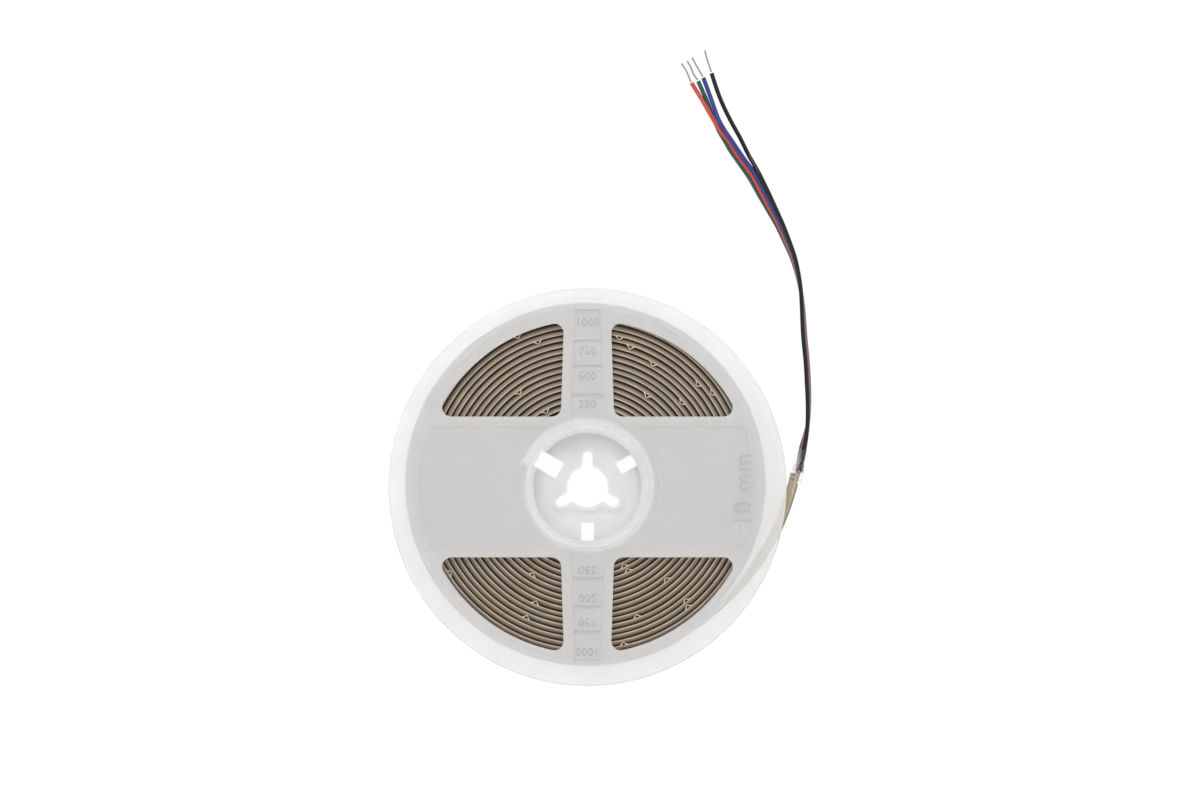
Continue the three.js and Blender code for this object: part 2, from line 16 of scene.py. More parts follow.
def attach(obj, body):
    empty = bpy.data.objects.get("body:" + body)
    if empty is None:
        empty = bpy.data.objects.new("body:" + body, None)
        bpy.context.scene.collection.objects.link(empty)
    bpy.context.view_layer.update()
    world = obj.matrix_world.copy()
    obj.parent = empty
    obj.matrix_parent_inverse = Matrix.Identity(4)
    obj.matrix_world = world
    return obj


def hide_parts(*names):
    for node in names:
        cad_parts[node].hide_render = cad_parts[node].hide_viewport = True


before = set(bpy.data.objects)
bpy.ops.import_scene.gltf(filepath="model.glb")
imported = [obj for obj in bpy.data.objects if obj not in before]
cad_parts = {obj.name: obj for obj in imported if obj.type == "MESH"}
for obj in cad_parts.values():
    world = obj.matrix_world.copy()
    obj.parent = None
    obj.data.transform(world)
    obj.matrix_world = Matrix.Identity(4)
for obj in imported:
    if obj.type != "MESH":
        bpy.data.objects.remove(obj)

LOG = logging.getLogger("led_strip_reel")

MM = 0.001
TINY = 1e-6
AXIS_X_MM = -4.0207195  # the reel's axis, from the middle of the footprint
MID_Z_MM = 6.7  # height of the strip's middle
STRIP_HALF_MM = 5.0  # half the width of the strip
BOARD_HALF_MM = 0.125  # half the thickness of its board

# Middle of the board's end, the way that it points, and how far its upper edge leans outwards
SPLICE_MM = (68.008, 4.398, MID_Z_MM)
SPLICE_HEADING = 78.0
SPLICE_LEAN = 12.5
# Cores of the flat lead, from the top down
CORES = ("black", "blue", "red", "green")
CORE_PITCH_MM = 1.5

# Noise between which a blotch goes from one colour to the other, and a grain from smooth to rough
BLOTCH_RANGE = (0.35, 0.65)
GRAIN_RANGE = (0.3, 0.7)
# Sockets of the colour mix node
MIX_FIRST, MIX_SECOND, MIX_RESULT = 6, 7, 2
WHITE = (1.0, 1.0, 1.0, 1.0)
# Faces of a block with four corners anticlockwise at its foot, and four over them
BLOCK_FACES = ((3, 2, 1, 0), (4, 5, 6, 7), (0, 1, 5, 4), (1, 2, 6, 5), (2, 3, 7, 6), (3, 0, 4, 7))

Point2 = tuple[float, float]
Point3 = tuple[float, float, float]
Outline = list[Point2]
Piece = bpy.types.Object
Tree = bpy.types.NodeTree
Shader = bpy.types.Node
Socket = bpy.types.NodeSocket
Pattern = Callable[[Tree, Shader], None]


# Colour, nodes and finishes


def linear_colour(hex_code: str) -> tuple[float, float, float, float]:
    """Turns an sRGB hex colour into linear values.

    Args:
        hex_code: Six hex digits.

    Returns:
        Linear red, green and blue, and an alpha of 1.
    """
    channels = []
    for start in (0, 2, 4):
        value = int(hex_code[start:start + 2], 16) / 255
        channels.append(value / 12.92 if value <= 0.04045 else ((value + 0.055) / 1.055) ** 2.4)
    return (channels[0], channels[1], channels[2], 1.0)


def add_node(
    tree: Tree,
    kind: str,
    settings: Optional[dict] = None,
    inputs: Optional[dict] = None,
) -> Shader:
    """Adds one node with its settings, values and links.

    Args:
        tree: The tree that gets the node.
        kind: Blender's name of the node type.
        settings: Attributes of the node.
        inputs: Values, or output sockets to link from, by input name or index.

    Returns:
        The new node.
    """
    node = tree.nodes.new(kind)
    for name, value in (settings or {}).items():
        setattr(node, name, value)
    for name, value in (inputs or {}).items():
        if isinstance(value, Socket):
            tree.links.new(value, node.inputs[name])
        else:
            node.inputs[name].default_value = value
    return node


def maths(tree: Tree, operation: str, *values: Union[float, Socket]) -> Socket:
    """Returns the result of a sum on one or two values or sockets."""
    node = add_node(tree, "ShaderNodeMath", {"operation": operation}, dict(enumerate(values)))
    return node.outputs[0]


def map_range(tree: Tree, value: Socket, low: float, high: float, smooth: bool = False) -> Socket:
    """Maps a value to the range from 0 to 1.

    Args:
        tree: The material's tree.
        value: The value.
        low: The value that gives 0.
        high: The value that gives 1.
        smooth: Whether both ends are eased.

    Returns:
        The mapped value.
    """
    node = add_node(tree, "ShaderNodeMapRange",
                    {"interpolation_type": "SMOOTHSTEP" if smooth else "LINEAR"},
                    {"Value": value, "From Min": low, "From Max": high})
    return node.outputs["Result"]


def mix_colours(
    tree: Tree,
    share: Socket,
    first: Union[str, Socket],
    second: Union[str, Socket],
) -> Socket:
    """Mixes two colours.

    Args:
        tree: The material's tree.
        share: How much there is of the second colour.
        first: The first colour, as a hex code or a socket.
        second: The second colour, likewise.

    Returns:
        The mixed colour.
    """
    ends = [linear_colour(end) if isinstance(end, str) else end for end in (first, second)]
    node = add_node(tree, "ShaderNodeMix", {"data_type": "RGBA"},
                    {"Factor": share, MIX_FIRST: ends[0], MIX_SECOND: ends[1]})
    return node.outputs[MIX_RESULT]


def noise_at(tree: Tree, spot_mm: float) -> Socket:
    """Makes soft noise that is fixed to the object.

    Args:
        tree: The material's tree.
        spot_mm: Width of a spot.

    Returns:
        The noise, mostly between 0.3 and 0.7.
    """
    place = add_node(tree, "ShaderNodeTexCoord").outputs["Object"]
    noise = add_node(tree, "ShaderNodeTexNoise", None,
                     {"Vector": place, "Scale": 1 / (spot_mm * MM), "Detail": 2.0})
    return noise.outputs["Fac"]


def noise_mix(tree: Tree, spot_mm: float, first: str, second: str) -> Socket:
    """Mixes two colours in soft blotches.

    Args:
        tree: The material's tree.
        spot_mm: Width of a blotch.
        first: Colour where the noise is low.
        second: Colour where it is high.

    Returns:
        The mixed colour.
    """
    return mix_colours(tree, map_range(tree, noise_at(tree, spot_mm), *BLOTCH_RANGE), first, second)


@dataclass(frozen=True)
class Finish:
    """A real material with the surface that its making left."""

    name: str
    colour: str
    roughness: float
    metallic: float = 0.0
    ior: float = 1.5
    transmission: float = 0.0
    alpha: float = 1.0
    pattern: Optional[Pattern] = None

    def material(self) -> bpy.types.Material:
        """Makes the material, or returns it where it was made before.

        Returns:
            The Blender material.
        """
        known = bpy.data.materials.get(self.name)
        if known:
            return known
        made = bpy.data.materials.new(self.name)
        made.use_nodes = True
        tree = made.node_tree
        shader = tree.nodes["Principled BSDF"]
        constants = {
            "Base Color": linear_colour(self.colour),
            "Roughness": self.roughness,
            "Metallic": self.metallic,
            "IOR": self.ior,
            "Transmission Weight": self.transmission,
            "Alpha": self.alpha,
        }
        for name, value in constants.items():
            shader.inputs[name].default_value = value
        if self.pattern:
            self.pattern(tree, shader)
        made.diffuse_color = linear_colour(self.colour)
        return made


def moulded(rounding_mm: float, spot_mm: float, dark: str, pale: str) -> Pattern:
    """Makes the skin of a moulding: soft edges, and faint clouds where the plastic flowed together.

    Args:
        rounding_mm: Radius that the tool leaves on sharp edges.
        spot_mm: Width of a cloud.
        dark: Colour of the darker clouds.
        pale: Colour of the paler ones.

    Returns:
        The pattern function.
    """

    def pattern(tree: Tree, shader: Shader) -> None:
        """Links the rounded edges to the normal and the clouds to the base colour."""
        edge = add_node(tree, "ShaderNodeBevel", {"samples": 4}, {"Radius": rounding_mm * MM})
        tree.links.new(edge.outputs["Normal"], shader.inputs["Normal"])
        tree.links.new(noise_mix(tree, spot_mm, dark, pale), shader.inputs["Base Color"])

    return pattern


def grained(spot_mm: float, depth_mm: float, spread: float) -> Pattern:
    """Makes a pattern of fine grain that breaks up the shine.

    Args:
        spot_mm: Width of a grain.
        depth_mm: Height of the grain.
        spread: How far the roughness goes up and down.

    Returns:
        The pattern function.
    """

    def pattern(tree: Tree, shader: Shader) -> None:
        """Links the grain to the roughness and the normal.

        Args:
            tree: The material's tree.
            shader: Its shader.
        """
        noise = noise_at(tree, spot_mm)
        middle = shader.inputs["Roughness"].default_value
        rough = add_node(tree, "ShaderNodeMapRange", None,
                         {"Value": noise, "From Min": GRAIN_RANGE[0], "From Max": GRAIN_RANGE[1],
                          "To Min": max(middle - spread, 0.0), "To Max": middle + spread})
        bump = add_node(tree, "ShaderNodeBump", None,
                        {"Height": noise, "Distance": depth_mm * MM})
        tree.links.new(rough.outputs["Result"], shader.inputs["Roughness"])
        tree.links.new(bump.outputs["Normal"], shader.inputs["Normal"])

    return pattern


def silicone_with_painted_gap_shade(
    step_mm: float,
    foot: tuple[str, str],
    shaded_flank: tuple[str, str],
    crown: tuple[str, str],
    blotch_mm: float = 14.0,
    shaded_flank_mm: float = 1.25,
    crown_mm: tuple[float, float] = (3.1, 1.0),
) -> Pattern:
    """Makes the look of the bead: milky over the chips, taupe at its foot (partly painted shade),
    and dark up its flanks (painted shade of the deep gap between turns).

    Args:
        step_mm: Distance from one chip to the next.
        foot: Colours beside the board, where the bead is greenish and where it is mauve, darker
            than the crown as partly painted shade.
        shaded_flank: Painted shade for the sides of the dome, deep in the gap between turns, level
            with a chip and between two.
        crown: Colours of the top of the dome, over a chip and between two.
        blotch_mm: Width of a greenish or mauve blotch.
        shaded_flank_mm: How far from the board the painted shade of the flank is full.
        crown_mm: How far from the middle of the strip the crown's colour begins, and is full.

    Returns:
        The pattern function.
    """

    def pattern(tree: Tree, shader: Shader) -> None:
        """Links the colours across and along the bead, with the painted shade of its flanks, to the
        base colour.

        Args:
            tree: The material's tree.
            shader: Its shader.
        """
        run, out, up = (
            add_node(tree, "ShaderNodeAttribute", {"attribute_name": mark}).outputs["Fac"]
            for mark in ("run_mm", "out_mm", "up_mm")
        )
        wave = maths(tree, "SINE", maths(tree, "MULTIPLY", run, 2 * math.pi / step_mm))
        stripe = map_range(tree, wave, -1.0, 1.0)
        sides, top = (mix_colours(tree, stripe, *pair) for pair in (shaded_flank, crown))
        # Painted shade: the colour darkens with the distance from the board, down into the gap
        # between turns
        rise = map_range(tree, out, 0.0, shaded_flank_mm, smooth=True)
        foot_to_shade = mix_colours(tree, rise, noise_mix(tree, blotch_mm, *foot), sides)
        over = map_range(tree, maths(tree, "ABSOLUTE", up), *crown_mm, smooth=True)
        tree.links.new(mix_colours(tree, over, foot_to_shade, top), shader.inputs["Base Color"])

    return pattern


def mottled(spot_mm: float, dark: str, pale: str) -> Pattern:
    """Makes a pattern of faint blotches.

    Args:
        spot_mm: Width of a blotch.
        dark: Colour of the darker parts.
        pale: Colour of the paler parts.

    Returns:
        The pattern function.
    """

    def pattern(tree: Tree, shader: Shader) -> None:
        """Links the blotches to the base colour."""
        tree.links.new(noise_mix(tree, spot_mm, dark, pale), shader.inputs["Base Color"])

    return pattern


# Injection-moulded natural polystyrene: milky, and dark wherever something dark lies under it
MOULDED_POLYSTYRENE = Finish("moulded_translucent_polystyrene", "FDFDFC", 0.29, ior=1.2,
                             transmission=0.6,
                             pattern=moulded(0.15, 12.0, "FBFBFA", "FEFEFE"))
# The raised figures are the same plastic, painted grey as painted shade for their steep sides,
# which turn away from the light
RAISED_FIGURES_PAINTED_SHADE = Finish("raised_figures_painted_shade", "B4B6BB", 0.45, ior=1.45,
                        pattern=grained(0.5, 0.004, 0.06))
# White solder mask on polyimide film: satin, slightly yellow
SOLDER_MASK_WHITE = Finish("white_solder_mask_on_polyimide", "DEDACF", 0.45,
                           pattern=mottled(5.0, "D6D2C6", "E4E0D6"))
# Cut edge of the film, where the brown polyimide shows between the masks
FILM_EDGE = Finish("cut_edge_of_polyimide_film", "92877A", 0.5,
                   pattern=mottled(5.0, "877C70", "9C9083"))
# Frosted silicone: milky on top and striped by the chips; taupe by the board and dark up its
# flanks, as painted shade of the deep gap between turns
FROSTED_SILICONE_WITH_PAINTED_SHADE = Finish("frosted_silicone_with_painted_gap_shade", "756B62", 0.6, ior=1.41,
                          pattern=silicone_with_painted_gap_shade(1.19, ("9A968A", "A39184"),
                                                      ("3F352C", "4F443A"), ("B9B1A0", "D3CDBF")))
# Silicone-coated paper on the adhesive: dull tan, painted lighter than its edges as painted light
# on the tail's face, which the reel's rim shades
RELEASE_PAPER_PAINTED_LIGHT = Finish("coated_release_paper_painted_light", "EED9B2", 0.7,
                       pattern=mottled(6.0, "E6CFA6", "F5E3C0"))
# Cut edge of the paper with its adhesive, greyer than the face, whose lighter tan is painted light
CUT_EDGE = Finish("cut_edge_of_paper_and_adhesive", "C3B09E", 0.75,
                  pattern=mottled(6.0, "B5A290", "D0BDAA"))
# Fold of bare paper that catches the light
LIFTED_PAPER = Finish("lifted_fold_of_paper", "DCCBAA", 0.75,
                      pattern=mottled(1.0, "CDB994", "E9DBBE"))
# Dark green marks printed on the strip's back
PRINTED_GREEN = Finish("printed_green_marks", "6A7460", 0.6,
                       pattern=mottled(0.6, "5C6654", "7A836E"))
# Tin-lead solder, wetted smooth
BRIGHT_SOLDER = Finish("bright_solder", "C9C8C4", 0.24, metallic=1.0,
                       pattern=grained(0.4, 0.01, 0.08))
# Tinned copper strands: dull grey, with highlights along the twist
TINNED_STRANDS = Finish("tinned_copper_strands", "A19E97", 0.45, metallic=1.0,
                        pattern=grained(0.3, 0.006, 0.12))
# Heat-shrunk clear polyolefin: glassy, a little wavy
CLEAR_POLYOLEFIN = Finish("heat_shrunk_clear_polyolefin", "FAFAFA", 0.06, ior=1.45,
                          transmission=1.0, alpha=0.4, pattern=grained(1.5, 0.02, 0.03))
# Extruded PVC insulation: half-matt, with the faint grain that the die leaves
EXTRUDED_PVC = {
    name: Finish(f"extruded_pvc_{name}", colour, roughness, ior=ior,
                 pattern=grained(0.9, 0.008, 0.06))
    for name, colour, roughness, ior in (
        ("black", "0D0C0E", 0.24, 1.4),
        ("blue", "1D3180", 0.27, 1.5),
        ("red", "BC463B", 0.27, 1.5),
        ("green", "194F44", 0.27, 1.5),
    )
}
# Copper pad with a dull coat of tin
TINNED_PAD = Finish("tinned_copper_pad", "B9A58C", 0.35, metallic=1.0,
                    pattern=grained(0.5, 0.006, 0.1))


# Meshes


def to_frame(point: Sequence[float]) -> Vector:
    """Turns millimetres about the reel's axis into metres in the row frame."""
    return Vector(((point[0] + AXIS_X_MM) * MM, point[1] * MM, point[2] * MM))


def link(name: str, data: bpy.types.ID) -> Piece:
    """Makes an object of the data and links it to the scene.

    Args:
        name: Name of the object.
        data: Its mesh, curve, camera or lamp.

    Returns:
        The object.
    """
    made = bpy.data.objects.new(name, data)
    bpy.context.scene.collection.objects.link(made)
    return made


def settled_mesh(piece: Piece) -> bpy.types.Mesh:
    """Returns a new mesh of the piece as its modifiers leave it."""
    ready = piece.evaluated_get(bpy.context.evaluated_depsgraph_get())
    return bpy.data.meshes.new_from_object(ready)


def mesh_piece(
    name: str,
    points: Sequence[Sequence[float]],
    faces: Sequence[Sequence[int]],
) -> Piece:
    """Makes an object with flat faces from points in millimetres about the reel's axis.

    Args:
        name: Name of the object.
        points: The corners.
        faces: Corner numbers of each face, anticlockwise from outside.

    Returns:
        The object, linked to the scene.
    """
    mesh = bpy.data.meshes.new(name)
    mesh.from_pydata([to_frame(point) for point in points], [], [list(face) for face in faces])
    mesh.validate()
    mesh.polygons.foreach_set("use_smooth", [False] * len(mesh.polygons))
    mesh.update()
    return link(name, mesh)


def shade_by_angle(piece: Piece, degrees: float) -> None:
    """Shades a piece smooth, with sharp edges where its faces meet at more than the angle.

    Args:
        piece: The object.
        degrees: The angle.
    """
    mesh = piece.data
    mesh.polygons.foreach_set("use_smooth", [True] * len(mesh.polygons))
    mesh.set_sharp_from_angle(angle=math.radians(degrees))


def dress(piece: Piece, finish: Finish, slot: str, *nodes: str) -> Piece:
    """Gives a piece its finish, puts it under the root body, and hides the CAD nodes that it stands
    for.

    Args:
        piece: The object.
        finish: What it is made of.
        slot: The record's material slot; not used.
        nodes: Names of the CAD nodes that it replaces.

    Returns:
        The same object.
    """
    piece.data.materials.clear()
    piece.data.materials.append(finish.material())
    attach(piece, "root")
    if nodes:
        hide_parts(*nodes)
    LOG.info("%s: %d faces, %s", piece.name, len(piece.data.polygons), finish.name)
    return piece


def finish_edges(piece: Piece, finish: Finish) -> None:
    """Gives the upper and lower edge of a flat layer a finish of its own.

    Args:
        piece: A layer with four faces a step, of which the first lies along its lower edge.
        finish: The finish of the edges.
    """
    piece.data.materials.append(finish.material())
    without_ends = piece.data.polygons[:-2]
    for polygon in without_ends:
        if polygon.index % 2 == 0:
            polygon.material_index = 1


def arc(centre: Point2, radius: float, start: float, end: float, steps: int) -> Outline:
    """Returns points along an arc, with both ends, for angles in radians."""
    angles = [start + (end - start) * index / steps for index in range(steps + 1)]
    return [(centre[0] + radius * math.cos(a), centre[1] + radius * math.sin(a)) for a in angles]


def circle(radius: float, steps: int) -> Outline:
    """Returns the points of a circle about the middle, without the first one again."""
    return arc((0.0, 0.0), radius, 0.0, 2 * math.pi, steps)[:-1]


def turned(points: Sequence[Point2], angle: float) -> Outline:
    """Returns the points turned about the axis by an angle in radians."""
    c, s = math.cos(angle), math.sin(angle)
    return [(x * c - y * s, x * s + y * c) for x, y in points]


def smoothstep(value: float) -> float:
    """Keeps a value between 0 and 1, and eases it at both ends."""
    value = min(max(value, 0.0), 1.0)
    return value * value * (3 - 2 * value)


def signed_area(outline: Sequence[Point2]) -> float:
    """Returns the area of an outline, positive where it runs anticlockwise."""
    pairs = zip(outline, list(outline[1:]) + [outline[0]])
    return sum(a[0] * b[1] - b[0] * a[1] for a, b in pairs) / 2


def prisms(name: str, outlines: Sequence[Sequence[Point2]], low: float, high: float) -> Piece:
    """Makes upright blocks of any outline, all in one object.

    Args:
        name: Name of the object.
        outlines: One outline for each block.
        low: Height of the bottom.
        high: Height of the top.

    Returns:
        The object.
    """
    points: list[Point3] = []
    faces: list[list[int]] = []
    for outline in outlines:
        clean = [p for i, p in enumerate(outline) if math.dist(p, outline[i - 1]) > TINY]
        if signed_area(clean) < 0:
            clean.reverse()
        first, count = len(points), len(clean)
        points += [(x, y, low) for x, y in clean] + [(x, y, high) for x, y in clean]
        faces.append([first + index for index in reversed(range(count))])
        faces.append([first + count + index for index in range(count)])
        for index in range(count):
            following = (index + 1) % count
            quad = (index, following, count + following, count + index)
            faces.append([first + corner for corner in quad])
    return mesh_piece(name, points, faces)


def blocks(name: str, corners: Sequence[Sequence[Sequence[float]]]) -> Piece:
    """Makes blocks of six faces, all in one object.

    Args:
        name: Name of the object.
        corners: Eight corners for each block, in the order of BLOCK_FACES.

    Returns:
        The object.
    """
    points = [corner for block in corners for corner in block]
    firsts = range(0, len(points), 8)
    faces = [[first + corner for corner in face] for first in firsts for face in BLOCK_FACES]
    return mesh_piece(name, points, faces)


class Join(Enum):
    """How a tool body acts on a piece."""

    ADD = "UNION"
    CUT = "DIFFERENCE"


Step = tuple[Join, Piece]


def shape(piece: Piece, steps: Sequence[Step]) -> None:
    """Cuts and adds tool bodies, and deletes them.

    Args:
        piece: The object that is shaped.
        steps: What is done with each tool body, in order.
    """
    for how, tool in steps:
        modifier = piece.modifiers.new("shape", "BOOLEAN")
        modifier.operation = how.value
        modifier.solver = "MANIFOLD"
        modifier.object = tool
    mesh = settled_mesh(piece)
    piece.modifiers.clear()
    piece.data = mesh
    for _, tool in steps:
        bpy.data.objects.remove(tool)


def sweep(
    name: str,
    rings: Sequence[Sequence[Sequence[float]]],
    loop: bool = False,
    marks: Optional[dict[str, Sequence[float]]] = None,
) -> Piece:
    """Skins a row of rings that all have the same number of points.

    Args:
        name: Name of the object.
        rings: The rings, each anticlockwise seen from the row's start.
        loop: Whether the last ring joins the first, instead of a face on both ends.
        marks: Attributes for the finish, by name, with a value for each point.

    Returns:
        The object.
    """
    count = len(rings[0])
    points = [point for ring in rings for point in ring]
    faces = []
    for row in range(len(rings) - (not loop)):
        here, there = row * count, (row + 1) % len(rings) * count
        for side in range(count):
            following = (side + 1) % count
            faces.append([here + side, there + side, there + following, here + following])
    if not loop:
        last = len(points) - count
        faces.append(list(range(count)))
        faces.append([last + side for side in reversed(range(count))])
    piece = mesh_piece(name, points, faces)
    for mark, values in (marks or {}).items():
        attribute = piece.data.attributes.new(mark, "FLOAT", "POINT")
        attribute.data.foreach_set("value", list(values))
    return piece


def revolve(name: str, profile: Sequence[Point2], steps: int) -> Piece:
    """Turns a closed profile of radii and heights about the axis.

    Args:
        name: Name of the object.
        profile: Points of radius and height, anticlockwise with the radius to the right.
        steps: How many steps go round.

    Returns:
        The object.
    """
    rings = [[(r * x, r * y, z) for r, z in profile] for x, y in circle(1.0, steps)]
    return sweep(name, rings, loop=True)


# Camera, lights and floor


@dataclass
class Studio:
    """White sweep with one large soft light behind the reel, seen from straight above."""

    look_at_mm: Point2 = (0.084, 28.4)
    view_width_mm: float = 391.9
    camera_height_mm: float = 3013.8
    reel_height_mm: float = 13.8
    sensor_mm: float = 36.0
    world_level: float = 0.9
    lamp_watts: float = 10.0
    lamp_size: float = 0.9
    lamp_place: Point3 = (-0.25, 1.2, 1.25)
    clip: Point2 = (0.1, 20.0)
    floor_size: float = 6.0
    floor_drop: float = 0.00005
    # The floor as it lights the object, and as it is seen: a glow over a grey that takes shadow
    floor_paper: str = "F2F2F2"
    floor_shade: str = "5A5A5A"
    floor_glow: float = 0.95

    def place_camera(self) -> None:
        """Sets the camera over the middle of the view, with the long side along X."""
        data = bpy.data.cameras.new("camera")
        data.sensor_width = self.sensor_mm
        distance = self.camera_height_mm - self.reel_height_mm
        data.lens = self.sensor_mm * distance / self.view_width_mm
        data.clip_start, data.clip_end = self.clip
        camera = link("camera", data)
        camera.location = [value * MM for value in (*self.look_at_mm, self.camera_height_mm)]
        bpy.context.scene.camera = camera

    def light(self) -> None:
        """Adds the lamp and the world, which is white to the camera and softer to the object."""
        lamp = bpy.data.lights.new("large_soft_lamp", "AREA")
        lamp.energy = self.lamp_watts
        lamp.size = self.lamp_size
        holder = link("large_soft_lamp", lamp)
        holder.location = self.lamp_place
        aim = -Vector(self.lamp_place)
        holder.rotation_euler = aim.to_track_quat("-Z", "Y").to_euler()
        world = bpy.data.worlds.new("white_room")
        world.use_nodes = True
        tree = world.node_tree
        tree.nodes.clear()
        level = add_node(tree, "ShaderNodeMapRange", None,
                         {"Value": self.seen_directly(tree), "To Min": self.world_level,
                          "To Max": 1.0})
        glow = add_node(tree, "ShaderNodeBackground", None,
                        {"Color": WHITE, "Strength": level.outputs["Result"]})
        add_node(tree, "ShaderNodeOutputWorld", None, {"Surface": glow.outputs[0]})
        bpy.context.scene.world = world

    @staticmethod
    def seen_directly(tree: Tree) -> Socket:
        """Tells rays that reach the eye from those that only light the object.

        Args:
            tree: The tree of the world or of a material.

        Returns:
            1 for camera, glossy and transmission rays, and 0 for the others.
        """
        rays = add_node(tree, "ShaderNodeLightPath").outputs
        shiny = maths(tree, "MAXIMUM", rays["Is Glossy Ray"], rays["Is Transmission Ray"])
        return maths(tree, "MAXIMUM", rays["Is Camera Ray"], shiny)

    def lay_floor(self) -> None:
        """Lays a white floor that keeps a faint shadow."""
        half = self.floor_size / 2 / MM
        corners = [(-half, -half, 0), (half, -half, 0), (half, half, 0), (-half, half, 0)]
        floor = mesh_piece("floor", corners, [[0, 1, 2, 3]])
        floor.location.z = -self.floor_drop
        made = bpy.data.materials.new("white_paper_sweep")
        made.use_nodes = True
        tree = made.node_tree
        tree.nodes.clear()
        paper, shade = (
            add_node(tree, "ShaderNodeBsdfDiffuse", None, {"Color": linear_colour(colour)})
            for colour in (self.floor_paper, self.floor_shade)
        )
        glow = add_node(tree, "ShaderNodeEmission", None,
                        {"Color": WHITE, "Strength": self.floor_glow})
        lit = add_node(tree, "ShaderNodeAddShader", None, {0: shade.outputs[0], 1: glow.outputs[0]})
        mix = add_node(tree, "ShaderNodeMixShader", None,
                       {0: self.seen_directly(tree), 1: paper.outputs[0], 2: lit.outputs[0]})
        add_node(tree, "ShaderNodeOutputMaterial", None, {"Surface": mix.outputs[0]})
        floor.data.materials.append(made)


# Lead: four cores and their stripped ends


def spline_points(points: Sequence[Vector], steps: int) -> list[Vector]:
    """Follows a centripetal Catmull-Rom spline.

    Args:
        points: The points that the spline goes through.
        steps: Steps between two of them.

    Returns:
        Points along the spline.
    """
    first = points[0] * 2 - points[1]
    last = points[-1] * 2 - points[-2]
    whole = [first, *points, last]
    path = []
    for index in range(1, len(whole) - 2):
        p0, p1, p2, p3 = whole[index - 1:index + 3]
        d0, d1, d2 = (max((b - a).length ** 0.5, TINY) for a, b in ((p0, p1), (p1, p2), (p2, p3)))
        t1 = ((p1 - p0) / d0 - (p2 - p0) / (d0 + d1) + (p2 - p1) / d1) * d1
        t2 = ((p2 - p1) / d1 - (p3 - p1) / (d1 + d2) + (p3 - p2) / d2) * d1
        for step in range(steps):
            t = step / steps
            c2 = p2 * 3 - p1 * 3 - t1 * 2 - t2
            c3 = p1 * 2 - p2 * 2 + t1 + t2
            path.append(p1 + t1 * t + c2 * t * t + c3 * t ** 3)
    path.append(points[-1].copy())
    return path


def carried_frames(path: Sequence[Vector]) -> list[tuple[Vector, Vector]]:
    """Carries two side directions along a path without twist.

    Args:
        path: The points.

    Returns:
        Two directions across the path for each point.
    """
    frames = []
    side = Vector((0, 0, 1))
    for index in range(len(path)):
        before, after = path[max(0, index - 1)], path[min(len(path) - 1, index + 1)]
        along = (after - before).normalized()
        side = side - along * side.dot(along)
        if side.length < TINY:
            side = along.orthogonal()
        side.normalize()
        frames.append((side.copy(), along.cross(side)))
    return frames


def tube(name: str, path: Sequence[Vector], outline: Callable[[float], Outline]) -> Piece:
    """Sweeps an outline along a path in millimetres.

    Args:
        name: Name of the object.
        path: The points.
        outline: Gives the outline at a length along the path.

    Returns:
        The object.
    """
    rings, run = [], 0.0
    frames = carried_frames(path)
    for index, (point, (side, across)) in enumerate(zip(path, frames)):
        if index:
            run += (point - path[index - 1]).length
        rings.append([point + side * x + across * y for x, y in outline(run)])
    return sweep(name, rings)


